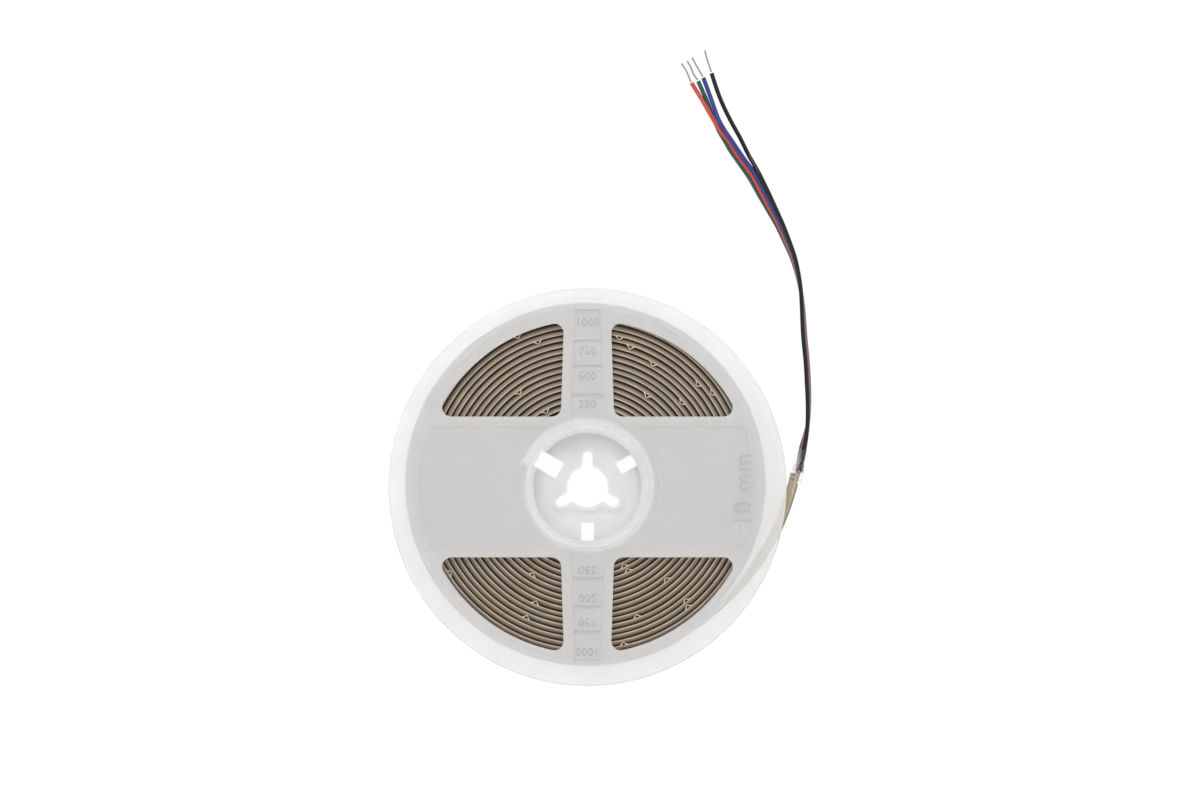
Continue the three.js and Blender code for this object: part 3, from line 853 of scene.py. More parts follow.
@dataclass
class Lead:
    """Flat lead of four bonded cores that leaves the splice, lies down and fans out."""

    core_diameter: float = 1.43
    core_sides: int = 20
    core_shade_angle: float = 50
    strand_count: int = 7
    strand_circle: float = 0.19
    strand_radius: float = 0.11
    strand_lay_mm: float = 7.0
    strand_groove: float = 0.25
    lobe_steps: int = 6
    strand_shade_angle: float = 60
    core_steps: int = 5
    tip_steps: int = 10
    # [x, y, height of the black core, roll of the flat lead], from the end of the board
    shared: tuple[tuple[float, float, float, float], ...] = (
        (1.72, 0.45, 8.65, 77.5), (2.32, 4.11, 8.69, 77.5), (2.94, 7.96, 8.72, 77.5),
        (3.45, 11.0, 8.5, 82), (4.0, 15.7, 7.75, 91), (4.1, 22.7, 6.75, 97), (3.8, 29.8, 5.75, 100),
        (3.4, 36.9, 5.2, 100), (2.7, 44.0, 5.16, 100), (2.4, 49.3, 5.17, 99), (2.2, 54.6, 5.2, 96),
        (1.7, 61.6, 5.22, 89), (0.1, 70.1, 5.13, 79), (-2.1, 76.6, 4.97, 71),
        (-4.2, 82.0, 4.78, 65), (-6.4, 86.9, 4.49, 57), (-9.1, 92.8, 3.98, 46.5),
        (-11.8, 98.3, 3.61, 40),
    )
    # The rest of each core's route, and its bared end, as [x, y, height]
    alone: dict[str, tuple[Point3, ...]] = field(default_factory=lambda: {
        "black": (
            (-13.4, 101.2, 2.5), (-15.1, 104.2, 1.3), (-17.8, 109.7, 0.72), (-21.3, 116.1, 0.72),
            (-23.8, 121.3, 0.72), (-25.6, 125.9, 0.72), (-27.3, 131.2, 0.72),
        ),
        "blue": (
            (-16.2, 102.4, 2.82), (-18.5, 105.7, 2.95), (-20.7, 109.0, 3.05), (-22.9, 112.2, 3.05),
            (-24.8, 115.5, 2.85), (-26.1, 118.8, 2.1), (-27.2, 122.0, 1.6), (-28.5, 125.6, 0.9),
            (-30.0, 129.7, 0.72),
        ),
        "red": (
            (-17.5, 102.4, 1.77), (-19.8, 105.7, 1.82), (-21.8, 109.0, 1.9), (-24.4, 112.2, 2.24),
            (-26.5, 115.5, 2.24), (-28.4, 118.8, 2.1), (-30.2, 122.0, 1.5), (-32.1, 125.1, 0.9),
            (-33.9, 128.0, 0.72),
        ),
        "green": (
            (-18.8, 102.4, 0.72), (-21.1, 105.7, 0.72), (-23.0, 109.0, 0.72), (-24.9, 112.2, 0.72),
            (-26.3, 115.5, 0.72), (-27.6, 118.8, 0.72), (-28.8, 122.0, 0.72), (-30.3, 125.4, 0.72),
            (-31.7, 128.6, 0.72),
        ),
    })
    stripped: dict[str, tuple[Point3, ...]] = field(default_factory=lambda: {
        "black": (
            (-27.4, 131.6, 0.72), (-28.2, 134.0, 0.6), (-29.2, 137.3, 0.5), (-29.5, 138.7, 0.5),
        ),
        "blue": ((-30.15, 130.05, 0.72), (-31.6, 132.5, 0.6), (-33.7, 136.3, 0.5)),
        "red": ((-34.1, 128.35, 0.72), (-35.6, 131.9, 0.6), (-37.2, 134.4, 0.5)),
        "green": (
            (-31.85, 128.95, 0.72), (-33.2, 130.9, 0.6), (-34.1, 133.1, 0.5), (-35.3, 135.3, 0.5),
        ),
    })

    @staticmethod
    def from_splice(point: Sequence[float]) -> Vector:
        """Moves a point from the splice to the reel's axis."""
        return Vector((point[0] + SPLICE_MM[0], point[1] + SPLICE_MM[1], point[2]))

    def core_points(self, name: str) -> list[Vector]:
        """Lists the points of one core's route, in millimetres about the reel's axis.

        Args:
            name: The core's colour.

        Returns:
            The points, from the splice on.
        """
        step = CORES.index(name) * CORE_PITCH_MM
        route = []
        for index, (x, y, z, roll) in enumerate(self.shared):
            before = self.shared[max(0, index - 1)]
            after = self.shared[min(len(self.shared) - 1, index + 1)]
            heading = Vector((after[0] - before[0], after[1] - before[1])).normalized()
            aside = step * math.cos(math.radians(roll))
            below = step * math.sin(math.radians(roll))
            place = (x - heading.y * aside, y + heading.x * aside, z - below)
            route.append(self.from_splice(place))
        return route + [self.from_splice(point) for point in self.alone[name]]

    def round_outline(self, _run: float) -> Outline:
        """Returns the round outline of a core."""
        return circle(self.core_diameter / 2, self.core_sides)

    def strand_outline(self, run: float) -> Outline:
        """Outlines the twisted strands, with a lobe for each one round the middle one.

        Args:
            run: Length along the bared end.

        Returns:
            The outline, turned by the twist at that length.
        """
        lobes = self.strand_count - 1
        steps = lobes * self.lobe_steps
        twist = 2 * math.pi * run / self.strand_lay_mm
        points = []
        for index in range(steps):
            angle = 2 * math.pi * index / steps
            ridge = 1 - self.strand_groove * (1 - abs(math.cos(lobes * angle / 2)))
            radius = self.strand_circle + self.strand_radius * ridge
            points.append((radius * math.cos(angle + twist), radius * math.sin(angle + twist)))
        return points

    def build(self) -> None:
        for name in CORES:
            tip = self.build_tip(name)
            path = spline_points(self.core_points(name), self.core_steps)
            core = tube(f"{name}_core", path, self.round_outline)
            shade_by_angle(core, self.core_shade_angle)
            dress(core, EXTRUDED_PVC[name], f"core_{name}", f"lead_core_{name}")

    def build_tip(self, name: str) -> Piece:
        """Makes the twisted, tinned end of one core.

        Args:
            name: The core's colour.

        Returns:
            The piece.
        """
        bared = [self.from_splice(point) for point in self.stripped[name]]
        tip = tube(f"{name}_tinned_strands", spline_points(bared, self.tip_steps),
                   self.strand_outline)
        shade_by_angle(tip, self.strand_shade_angle)
        return dress(tip, TINNED_STRANDS, "tinned_copper", f"tinned_end_{name}")


# Reel


@dataclass(frozen=True)
class ReelSizes:
    """Sizes of both reel halves in millimetres."""

    radius: float = 65.0
    flange: float = 1.4
    rim_bevel: float = 0.35
    upper_flange_z: float = 12.4
    height: float = 13.8
    window_radius: float = 54.5
    band_half: float = 23.0
    spoke_half_inner: float = 8.7
    spoke_half_outer: float = 7.7
    corner: float = 3.0
    rib: float = 3.4
    recess: float = 0.2
    spoke_panel_radius: float = 61.8
    groove_radii: tuple[float, ...] = (30.2, 39.4, 47.6, 57.2)
    groove_widths: tuple[float, ...] = (1.1, 1.1, 1.1, 1.5)
    groove_depth: float = 0.35
    hub_radius: float = 20.2
    hub_inner: float = 19.0
    spigot_outer: float = 18.7
    well_radius: float = 17.6
    hub_wall_top: float = 12.1
    lower_web_z: float = 5.55
    upper_web_z: float = 7.05
    web: float = 1.2
    arbor: float = 6.75
    slot_half: float = 1.7
    slot_reach: float = 11.6
    slot_angles: tuple[float, ...] = (90.0, 210.0, 330.0)
    collar_width: float = 1.4
    collar_height: float = 0.9
    snap_angles: tuple[float, ...] = (30.0, 270.0)
    core_window_inner: float = 11.7
    core_window_width: float = 4.2
    tongue: float = 3.6
    slit: float = 0.5
    slit_height: float = 3.9
    barb_reach: float = 0.6
    barb_height: float = 1.2
    barb_toe: float = 0.15
    snap_clearance: float = 0.4
    notch_angle: float = 150.0
    notch_inner: float = 10.4
    notch_width: float = 5.8
    # How far the web and the collar reach into what they are joined to
    upper_weld: float = 0.5
    lower_weld: float = 0.6
    # How far a tool body runs past what it cuts, where it isn't the bevel's width
    past: float = 0.3
    little_past: float = 0.15
    least_past: float = 0.05
    slit_past: float = 0.6


@dataclass
class Reel:
    """Two moulded halves that snap together at the hub."""

    sizes: ReelSizes = field(default_factory=ReelSizes)
    disc_steps: int = 240
    web_steps: int = 120
    arc_steps: int = 10
    panel_steps: tuple[int, int] = (6, 8)
    shade_angle: float = 25

    def window_outline(self) -> Outline:
        """Outlines the flange window in the first quadrant.

        Returns:
            The outline, anticlockwise.
        """
        s = self.sizes
        taper = math.atan2(s.spoke_half_inner - s.spoke_half_outer, s.window_radius - s.band_half)
        normal = Vector((math.cos(taper), math.sin(taper)))
        along = Vector((-math.sin(taper), math.cos(taper)))
        reach = s.window_radius - s.corner
        corner_y = s.band_half + s.corner
        band = Vector((math.sqrt(reach ** 2 - corner_y ** 2), corner_y))
        foot = Vector((s.spoke_half_inner, s.band_half)) + normal * s.corner
        half = foot.dot(along)
        spoke = foot + along * (-half + math.sqrt(half ** 2 - foot.length_squared + reach ** 2))
        inner = foot + along * ((corner_y - foot.y) / along.y)
        band_angle = math.atan2(band.y, band.x)
        spoke_angle = math.atan2(spoke.y, spoke.x)
        quarter = math.pi / 2
        steps = self.arc_steps
        return [
            *arc(tuple(band), s.corner, -quarter, band_angle, steps),
            *arc((0, 0), s.window_radius, band_angle, spoke_angle, 4 * steps),
            *arc(tuple(spoke), s.corner, spoke_angle, math.pi + taper, steps),
            *arc(tuple(inner), s.corner, math.pi + taper, 3 * quarter, steps),
        ]

    def windows(self) -> list[Outline]:
        """Returns the outlines of the four flange windows."""
        signs = ((1, 1), (-1, 1), (-1, -1), (1, -1))
        return [[(x * i, y * j) for x, y in self.window_outline()] for i, j in signs]

    def band_panels(self) -> list[Outline]:
        """Outlines the recessed fields beside the hub.

        Returns:
            Both outlines.
        """
        s = self.sizes
        half = s.band_half - s.rib
        outer = math.asin(half / s.window_radius)
        inner = math.asin(half / s.hub_radius)
        outline = [
            *arc((0, 0), s.window_radius, -outer, outer, 4 * self.arc_steps),
            *arc((0, 0), s.hub_radius, inner, -inner, 4 * self.arc_steps),
        ]
        return [outline, turned(outline, math.pi)]

    def spoke_half(self, radius: float) -> float:
        """Works out half the width of a spoke's recessed field.

        Args:
            radius: Distance from the axis.

        Returns:
            Half the width there.
        """
        s = self.sizes
        share = (radius - s.band_half) / (s.window_radius - s.band_half)
        return s.spoke_half_inner + (s.spoke_half_outer - s.spoke_half_inner) * share - s.rib

    def spoke_panels(self) -> list[Outline]:
        """Outlines the recessed fields on the spokes.

        Returns:
            Both outlines.
        """
        s = self.sizes
        wide, narrow = self.spoke_half(s.hub_radius), self.spoke_half(s.spoke_panel_radius)
        inner, outer = math.acos(wide / s.hub_radius), math.acos(narrow / s.spoke_panel_radius)
        outline = [
            *arc((0, 0), s.spoke_panel_radius, outer, math.pi - outer, self.panel_steps[0]),
            *arc((0, 0), s.hub_radius, math.pi - inner, inner, self.panel_steps[1]),
        ]
        return [outline, turned(outline, math.pi)]

    def grooves(self) -> list[Outline]:
        """Outlines the graduation grooves.

        Returns:
            The outlines, from the hub outwards.
        """
        s = self.sizes
        steps = self.panel_steps[0]
        outlines = []
        for radius, width in zip(s.groove_radii, s.groove_widths):
            spread = math.asin(self.spoke_half(radius) / radius)
            for middle in (math.pi / 2, -math.pi / 2):
                outlines.append([
                    *arc((0, 0), radius + width / 2, middle - spread, middle + spread, steps),
                    *arc((0, 0), radius - width / 2, middle + spread, middle - spread, steps),
                ])
        return outlines

    def arbor_outline(self, margin: float = 0.0) -> Outline:
        """Outlines the arbor hole with its key slots.

        Args:
            margin: How far outside the hole the outline runs.

        Returns:
            The outline, anticlockwise.
        """
        s = self.sizes
        radius, half = s.arbor + margin, s.slot_half + margin
        spread = math.asin(half / radius)
        outline: Outline = []
        for index, angle in enumerate(s.slot_angles):
            direction = math.radians(angle)
            following = math.radians(s.slot_angles[(index + 1) % len(s.slot_angles)])
            if following < direction:
                following += 2 * math.pi
            reach = s.slot_reach - s.slot_half
            centre = (reach * math.cos(direction), reach * math.sin(direction))
            quarter, steps = math.pi / 2, self.arc_steps
            outline += arc(centre, half, direction - quarter, direction + quarter, steps)
            outline += arc((0, 0), radius, direction + spread, following - spread, 2 * steps)
        return outline

    @staticmethod
    def radial_outline(angle: float, span: Point2, width: float, aside: float = 0.0) -> Outline:
        """Outlines a block that points away from the axis.

        Args:
            angle: The way that it points, in degrees.
            span: Distance from the axis of its near and far end.
            width: Its width.
            aside: How far its middle line runs beside the axis.

        Returns:
            The outline, anticlockwise.
        """
        (inner, outer), low, high = span, aside - width / 2, aside + width / 2
        corners = [(inner, low), (outer, low), (outer, high), (inner, high)]
        return turned(corners, math.radians(angle))

    def notch_outline(self) -> Outline:
        """Returns the outline of the notch in the web."""
        s = self.sizes
        span = (s.notch_inner, s.spigot_outer + s.least_past)
        return self.radial_outline(s.notch_angle, span, s.notch_width)

    def core_windows(self) -> list[Outline]:
        """Outlines the openings beside the snap tongues, and the notch.

        Returns:
            The outlines.
        """
        s = self.sizes
        span = (s.core_window_inner, s.well_radius + s.little_past)
        outlines = [self.radial_outline(a, span, s.core_window_width) for a in s.snap_angles]
        return [*outlines, self.notch_outline()]

    def web_and_collar(self, radius: float, web: Point2, collar: Point2) -> list[Step]:
        """Makes the web across the hub, and the collar round the arbor hole.

        Args:
            radius: Radius of the web.
            web: Height of its bottom and top.
            collar: Height of the collar's.

        Returns:
            The steps that add both.
        """
        round_arbor = self.arbor_outline(self.sizes.collar_width)
        return [
            (Join.ADD, prisms("web", [circle(radius, self.web_steps)], *web)),
            (Join.ADD, prisms("collar", [round_arbor], *collar)),
        ]

    def flange_cuts(self, through: Point2, panels: Point2) -> list[Step]:
        """Makes the openings and the recessed fields of a flange.

        Args:
            through: Height of the bottom and top of the window cutters.
            panels: Height of the bottom and top of the fields' cutters.

        Returns:
            The steps that cut them.
        """
        return [
            (Join.CUT, prisms("windows", self.windows(), *through)),
            (Join.CUT, prisms("band_panels", self.band_panels(), *panels)),
            (Join.CUT, prisms("spoke_panels", self.spoke_panels(), *panels)),
        ]

    def mould(self, name: str, node: str, profile: Sequence[Point2], steps: Sequence[Step]) -> None:
        """Makes one half from its round body.

        Args:
            name: Name of the piece.
            node: The CAD node that it stands for.
            profile: Section of the round body.
            steps: What is cut from it and added to it.
        """
        body = revolve(name, profile, self.disc_steps)
        shape(body, steps)
        shade_by_angle(body, self.shade_angle)
        dress(body, MOULDED_POLYSTYRENE, "reel_plastic", node)

    def build_upper(self) -> None:
        """Makes the upper half with its spigot, tongues and barbs."""
        s = self.sizes
        bevel, web_low, web_top = s.rim_bevel, s.upper_web_z, s.upper_web_z + s.web
        profile = [
            (s.well_radius, web_low), (s.spigot_outer, web_low),
            (s.spigot_outer, s.upper_flange_z), (s.radius - bevel, s.upper_flange_z),
            (s.radius, s.upper_flange_z + bevel), (s.radius, s.height - bevel),
            (s.radius - bevel, s.height), (s.well_radius, s.height),
        ]
        offset = (s.tongue + s.slit) / 2
        span = (s.well_radius - s.slit_past, s.spigot_outer + s.slit_past)
        slits = prisms("slits", [
            self.radial_outline(angle, span, s.slit, side * offset)
            for angle in s.snap_angles for side in (-1, 1)
        ], web_low - bevel, web_low + s.slit_height)
        floor, above = s.height - s.recess, s.height + bevel
        self.mould("upper_reel_moulding", "reel_upper_half", profile, [
            *self.web_and_collar(s.well_radius + s.upper_weld, (web_low, web_top),
                                 (web_low + s.upper_weld, web_top + s.collar_height)),
            *self.flange_cuts((s.upper_flange_z - bevel, above), (floor, above)),
            (Join.CUT, prisms("grooves", self.grooves(), floor - s.groove_depth,
                              floor + s.least_past)),
            (Join.CUT, prisms("arbor", [self.arbor_outline()], 0, s.height)),
            (Join.CUT, prisms("core_windows", self.core_windows(), web_low - bevel,
                              web_top + s.past)),
            (Join.CUT, prisms("notch", [self.notch_outline()], web_top, above)),
            (Join.CUT, slits),
            (Join.ADD, self.barbs()),
        ])

    def barbs(self) -> Piece:
        """Makes the wedge on the foot of each snap tongue.

        Returns:
            The body of both wedges.
        """
        s = self.sizes
        low = s.upper_web_z + s.barb_toe
        root, tip = s.spigot_outer - s.upper_weld, s.spigot_outer + s.barb_reach
        profile = [(root, 0.0), (s.spigot_outer, 0.0), (tip, s.barb_height), (root, s.barb_height)]
        wedges = []
        for angle in s.snap_angles:
            wedge: list[Point3] = []
            for side in (s.tongue / 2, -s.tongue / 2):
                places = turned([(radius, side) for radius, _ in profile], math.radians(angle))
                wedge += [(x, y, low + rise) for (x, y), (_, rise) in zip(places, profile)]
            wedges.append(wedge)
        return blocks("barbs", wedges)

    def build_lower(self) -> None:
        """Makes the lower half with its hub wall and the slots for the barbs."""
        s = self.sizes
        bevel, web_low, web_top = s.rim_bevel, s.lower_web_z, s.lower_web_z + s.web
        profile = [
            (s.hub_inner, 0), (s.radius - bevel, 0), (s.radius, bevel),
            (s.radius, s.flange - bevel), (s.radius - bevel, s.flange),
            (s.hub_radius, s.flange), (s.hub_radius, s.hub_wall_top),
            (s.hub_inner, s.hub_wall_top),
        ]
        barb_top = s.upper_web_z + s.barb_toe + s.barb_height
        span = (s.hub_inner - s.past, s.hub_radius + s.past)
        catches = prisms("catches", [
            self.radial_outline(angle, span, s.tongue + 2 * s.snap_clearance)
            for angle in s.snap_angles
        ], web_top + s.past, barb_top + s.past)
        self.mould("lower_reel_moulding", "reel_lower_half", profile, [
            *self.web_and_collar(s.hub_inner + s.lower_weld, (web_low, web_top),
                                 (web_low - s.collar_height, web_low + s.lower_weld)),
            *self.flange_cuts((-bevel, s.flange + bevel), (-bevel, s.recess)),
            (Join.CUT, prisms("arbor", [self.arbor_outline()], -1, s.height)),
            (Join.CUT, prisms("core_windows", self.core_windows(), 0, web_top + s.little_past)),
            (Join.CUT, catches),
        ])


@dataclass
class RaisedMarks:
    """Numbers along both spokes and the strip's width beside the rim, raised on the panels."""

    numbers: tuple[str, ...] = ("250", "500", "750", "1000")
    radii: tuple[float, ...] = (27.0, 36.1, 44.2, 53.7)
    number_height: float = 2.6
    width_mark: str = "10 mm"
    width_mark_radius: float = 50.8
    width_mark_height: float = 5.6
    width_mark_shift: float = -0.8
    # Of the font: height of a figure, how much thinner its strokes are drawn, and its spacing
    figure_share: float = 0.7
    thinning: float = 0.022
    spacing: float = 1.08
    panel_z: float = 13.6
    rise: float = 0.14

    def text_piece(self, name: str, words: str, height: float, place: Point2, turn: float) -> None:
        """Makes one raised word.

        Args:
            name: Name of the piece.
            words: What it says.
            height: Height of the figures in millimetres.
            place: Middle of the word, about the reel's axis.
            turn: Angle of the word in degrees.
        """
        curve = bpy.data.curves.new(name, "FONT")
        curve.body = words
        curve.size = height / self.figure_share
        curve.align_x = "CENTER"
        curve.align_y = "CENTER"
        curve.extrude = self.rise / 2
        curve.offset = -self.thinning * height
        curve.space_character = self.spacing
        maker = link(name, curve)
        mesh = settled_mesh(maker)
        bpy.data.objects.remove(maker)
        position = Matrix.Translation((place[0], place[1], self.panel_z + self.rise / 2))
        mesh.transform(position @ Matrix.Rotation(math.radians(turn), 4, "Z"))
        for vertex in mesh.vertices:
            vertex.co = to_frame(vertex.co)
        # The figures are painted grey: painted shade for their steep sides
        dress(link(name, mesh), RAISED_FIGURES_PAINTED_SHADE, "reel_plastic")

    def build(self) -> None:
        """Makes the numbers on both spokes and the width mark."""
        height = self.number_height
        for words, radius in zip(self.numbers, self.radii):
            self.text_piece(f"back_number_{words}", words, height, (0.0, radius), 0)
            self.text_piece(f"front_number_{words}", words, height, (0.0, -radius), 180)
        self.text_piece("width_mark", self.width_mark, self.width_mark_height,
                        (self.width_mark_radius, self.width_mark_shift), 90)


# Strip


@dataclass(frozen=True)
class Station:
    """One place along the wound strip, with the room that the bead has there."""

    point: Vector
    normal: Vector
    lean: float
    run: float
    room: float


@dataclass
class Strip:
    """Board, silicone bead and release liner, wound on edge, with the loose tail."""

    first_radius: float = 21.175
    pitch: float = 1.93
    start_angle: float = 160.0
    turns: float = 19.0 + 140.0 / 360.0
    sway: float = 1.3
    sway_angle: float = 100.0
    steps_per_turn: int = 150
    tail_steps: int = 48
    tail_samples: int = 400
    shade_angle: float = 35
    lean_start: float = 0.05
    lean_full: float = 0.75
    tail_start_pull: float = 26.0
    tail_end_pull: float = 22.0
    bead_setback: float = 3.2
    bead_height: float = 1.42
    tail_bead_height: float = 1.1
    bead_foot: float = 0.13
    least_gap: float = 0.01
    # Dome of the bead, as [share of its height, half its width there]
    bead_dome: tuple[Point2, ...] = (
        (0.0, 4.2), (0.25, 4.14), (0.52, 3.92), (0.75, 3.5), (0.92, 2.9), (1.0, 2.1),
    )
    liner_inner: float = -0.425
    liner_outer: float = -0.16
    # Where the liner has come loose and stands off in a fold: angle in degrees, radius and depth
    folds: tuple[tuple[float, float, float], ...] = (
        (37, 51.4, 1.7), (43, 49.3, 1.5), (78, 49.3, 1.6), (73, 47.4, 1.4), (62, 45.4, 1.5),
        (42, 41.3, 1.6), (57, 35.3, 1.8), (109, 50.6, 1.6), (115, 54.2, 1.2), (126, 37.9, 1.7),
        (119, 28.1, 1.6), (212, 53.2, 1.2), (245, 47.7, 1.7), (246, 42.5, 2.3), (238, 34.6, 2.4),
        (283, 53.9, 1.3), (310, 51.6, 1.8), (311, 49.3, 1.5), (291, 45.4, 1.4), (310.5, 39.4, 1.7),
        (296, 30.0, 1.5), (295, 28.1, 1.5),
    )
    # A fold from above, as [place along it, share of its depth]
    fold_outline: tuple[Point2, ...] = ((-1, 0.0), (-0.35, 0.62), (0, 1.0), (0.3, 0.5), (1, 0.0))
    fold_half_length: float = 1.5
    fold_wall: float = 0.26
    fold_foot: float = 4.15
    fold_rise: float = 0.35
    deepest_fold: float = 1.36
    # Slack in the winding: waves of [depth in millimetres, waves per turn, phase]
    slack: tuple[tuple[float, float, float], ...] = (
        (0.07, 0.37, 0.4), (0.05, 2.31, 1.9), (0.04, 5.17, 0.3),
    )

    def radius_at(self, wound: float) -> float:
        """Works out the radius of the board's middle.

        Args:
            wound: Number of turns from the hub.

        Returns:
            The radius there.
        """
        angle = math.radians(self.start_angle + 360 * wound - self.sway_angle)
        share = wound / self.turns
        sway = self.sway * share * math.cos(angle)
        ease = math.sin(math.pi * share)
        waves = sum(d * math.sin(2 * math.pi * n * wound + phase) for d, n, phase in self.slack)
        return self.first_radius + self.pitch * wound + sway + ease * waves

    def coil_station(self, wound: float, run: float) -> Station:
        """Finds a station of the coil.

        Args:
            wound: Number of turns from the hub.
            run: Length of strip wound up to there.

        Returns:
            The station.
        """
        angle = math.radians(self.start_angle + 360 * wound)
        normal = Vector((math.cos(angle), math.sin(angle)))
        radius = self.radius_at(wound)
        room = self.bead_height
        if wound + 1 < self.turns:
            room = self.radius_at(wound + 1) + self.liner_inner - radius - self.least_gap
        return Station(normal * radius, normal, 0.0, run, room)

    def coil_run(self, wound: float) -> float:
        """Returns about how much strip is wound up to there, in millimetres."""
        return 2 * math.pi * wound * (self.first_radius + self.pitch * wound / 2)

    def tail(self) -> list[Station]:
        """Lists the stations of the loose tail, from the coil to the splice.

        Returns:
            The stations, evenly spaced, with one more where the bead ends.
        """
        leave = self.coil_station(self.turns, 0.0)
        turn = math.radians(SPLICE_HEADING)
        p0, p3 = leave.point, Vector(SPLICE_MM[:2])
        p1 = p0 + Vector((-leave.normal.y, leave.normal.x)) * self.tail_start_pull
        p2 = p3 - Vector((math.cos(turn), math.sin(turn))) * self.tail_end_pull
        dots = []
        for index in range(self.tail_samples + 1):
            t = index / self.tail_samples
            u = 1 - t
            point = p0 * u ** 3 + p1 * 3 * u * u * t + p2 * 3 * u * t * t + p3 * t ** 3
            slope = (p1 - p0) * 3 * u * u + (p2 - p1) * 6 * u * t + (p3 - p2) * 3 * t * t
            dots.append((point, slope.normalized()))
        runs = [0.0]
        for (a, _), (b, _) in zip(dots, dots[1:]):
            runs.append(runs[-1] + (b - a).length)
        whole, start_run = runs[-1], self.coil_run(self.turns)
        marks = [whole * step / self.tail_steps for step in range(1, self.tail_steps + 1)]
        marks.append(whole - self.bead_setback)
        stations = []
        for mark in sorted(marks):
            point, slope = dots[min(range(len(runs)), key=lambda i: abs(runs[i] - mark))]
            leant = (mark / whole - self.lean_start) / (self.lean_full - self.lean_start)
            lean = math.radians(SPLICE_LEAN) * smoothstep(leant)
            normal = Vector((slope.y, -slope.x))
            stations.append(Station(point, normal, lean, start_run + mark, self.tail_bead_height))
        return stations

    def stations(self) -> list[Station]:
        """Lists the stations of the coil and the tail.

        Returns:
            The stations, from the hub outwards.
        """
        count = round(self.turns * self.steps_per_turn)
        places = [self.turns * index / count for index in range(count + 1)]
        coil = [self.coil_station(wound, self.coil_run(wound)) for wound in places]
        return coil + self.tail()

    def layer(
        self,
        name: str,
        stations: Sequence[Station],
        section: Callable[[Station], Outline],
    ) -> Piece:
        """Sweeps a section along the stations, and marks each point's place for the finish.

        Args:
            name: Name of the piece.
            stations: The places along the strip.
            section: Gives the outline at a station, as [offset outwards, height].

        Returns:
            The piece.
        """
        rings = []
        marks: dict[str, list[float]] = {"run_mm": [], "out_mm": [], "up_mm": []}
        for station in stations:
            ring = []
            c, s = math.cos(station.lean), math.sin(station.lean)
            for offset, height in section(station):
                for mark, value in zip(marks, (station.run, offset, height)):
                    marks[mark].append(value)
                place = station.point + station.normal * (offset * c + height * s)
                ring.append((place.x, place.y, MID_Z_MM + (height * c - offset * s)))
            rings.append(ring)
        piece = sweep(name, rings, marks=marks)
        shade_by_angle(piece, self.shade_angle)
        return piece

    def fold_places(self) -> list[tuple[float, float, float]]:
        """Finds the turn of the coil that each fold lies on.

        Returns:
            For each fold, the turns wound, the turns per millimetre, and the depth.
        """
        places = []
        for angle, radius, depth in self.folds:
            first = ((angle - self.start_angle) % 360) / 360
            options = [first + turn for turn in range(math.ceil(self.turns - first))]
            wound = min(options, key=lambda w: abs(self.radius_at(w) + self.liner_inner - radius))
            per_mm = 1 / (2 * math.pi * self.radius_at(wound))
            places.append((wound, per_mm, min(depth, self.deepest_fold)))
        return places

    def flat_section(self, inner: float, outer: float) -> Callable[[Station], Outline]:
        """Makes the section of a flat layer, which is the same all along.

        Args:
            inner: Offset of its inner face.
            outer: Offset of its outer face.

        Returns:
            A function that gives the outline, from the lower edge round.
        """
        edge = STRIP_HALF_MM
        outline = [(inner, -edge), (outer, -edge), (outer, edge), (inner, edge)]
        return lambda _station: outline

    def build(self) -> None:
        """Makes the three layers and the loose folds of the liner."""
        self.build_board()
        self.build_bead()
        self.build_liner()
        self.build_folds()

    def build_board(self) -> None:
        """Makes the flexible board."""
        board = self.layer("flexible_board", self.stations(),
                           self.flat_section(-BOARD_HALF_MM, BOARD_HALF_MM))
        dress(board, SOLDER_MASK_WHITE, "strip_board", "strip_board")
        finish_edges(board, FILM_EDGE)

    def build_bead(self) -> None:
        """Makes the domed bead, which touches the liner of the next turn."""

        def section(station: Station) -> Outline:
            """Returns the dome as high as there is room for it."""
            height = station.room - self.bead_foot
            dome = [(self.bead_foot + share * height, z) for share, z in self.bead_dome]
            return [(x, -z) for x, z in dome] + [(x, z) for x, z in reversed(dome)]

        stations = self.stations()
        end = stations[-1].run - self.bead_setback + TINY
        stations = [station for station in stations if station.run <= end]
        bead = self.layer("silicone_bead", stations, section)
        # The bead's foot and flanks carry painted shade of the gap between turns
        dress(bead, FROSTED_SILICONE_WITH_PAINTED_SHADE, "strip_bead", "strip_bead")

    def build_liner(self) -> None:
        """Makes the adhesive with its release paper."""
        liner = self.layer("release_liner", self.stations(),
                           self.flat_section(self.liner_inner, self.liner_outer))
        # The paper's face is painted lighter than its edges: painted light for the tail's face in
        # the rim's shade
        dress(liner, RELEASE_PAPER_PAINTED_LIGHT, "release_liner", "strip_liner")
        finish_edges(liner, CUT_EDGE)

    def build_folds(self) -> None:
        """Makes the places where the release paper has come loose and stands off in a fold."""
        wall = self.fold_wall
        points: list[Point3] = []
        faces: list[list[int]] = []
        for wound, per_mm, depth in self.fold_places():
            outer, inner = [], []
            for step, push in self.fold_outline:
                station = self.coil_station(wound + step * self.fold_half_length * per_mm, 0.0)
                along = Vector((-station.normal.y, station.normal.x))
                reach = self.liner_inner - push * depth
                outer.append(station.point + station.normal * reach)
                inner.append(station.point + station.normal * (reach + wall) - along * wall * step)
            outline = [*outer, *reversed(inner)]
            first, count = len(points), len(outline)
            for height in (self.fold_foot, STRIP_HALF_MM + self.fold_rise):
                points += [(p.x, p.y, MID_Z_MM + height) for p in outline]
            quads = []
            for index in range(len(outer) - 1):
                foot = (index, index + 1, count - 2 - index, count - 1 - index)
                quads += [foot, [count + corner for corner in reversed(foot)]]
            for index in range(count):
                following = (index + 1) % count
                quads.append((following, index, count + index, count + following))
            faces += [[first + corner for corner in quad] for quad in quads]
        folds = mesh_piece("lifted_liner_folds", points, faces)
        dress(folds, LIFTED_PAPER, "release_liner")


# Splice


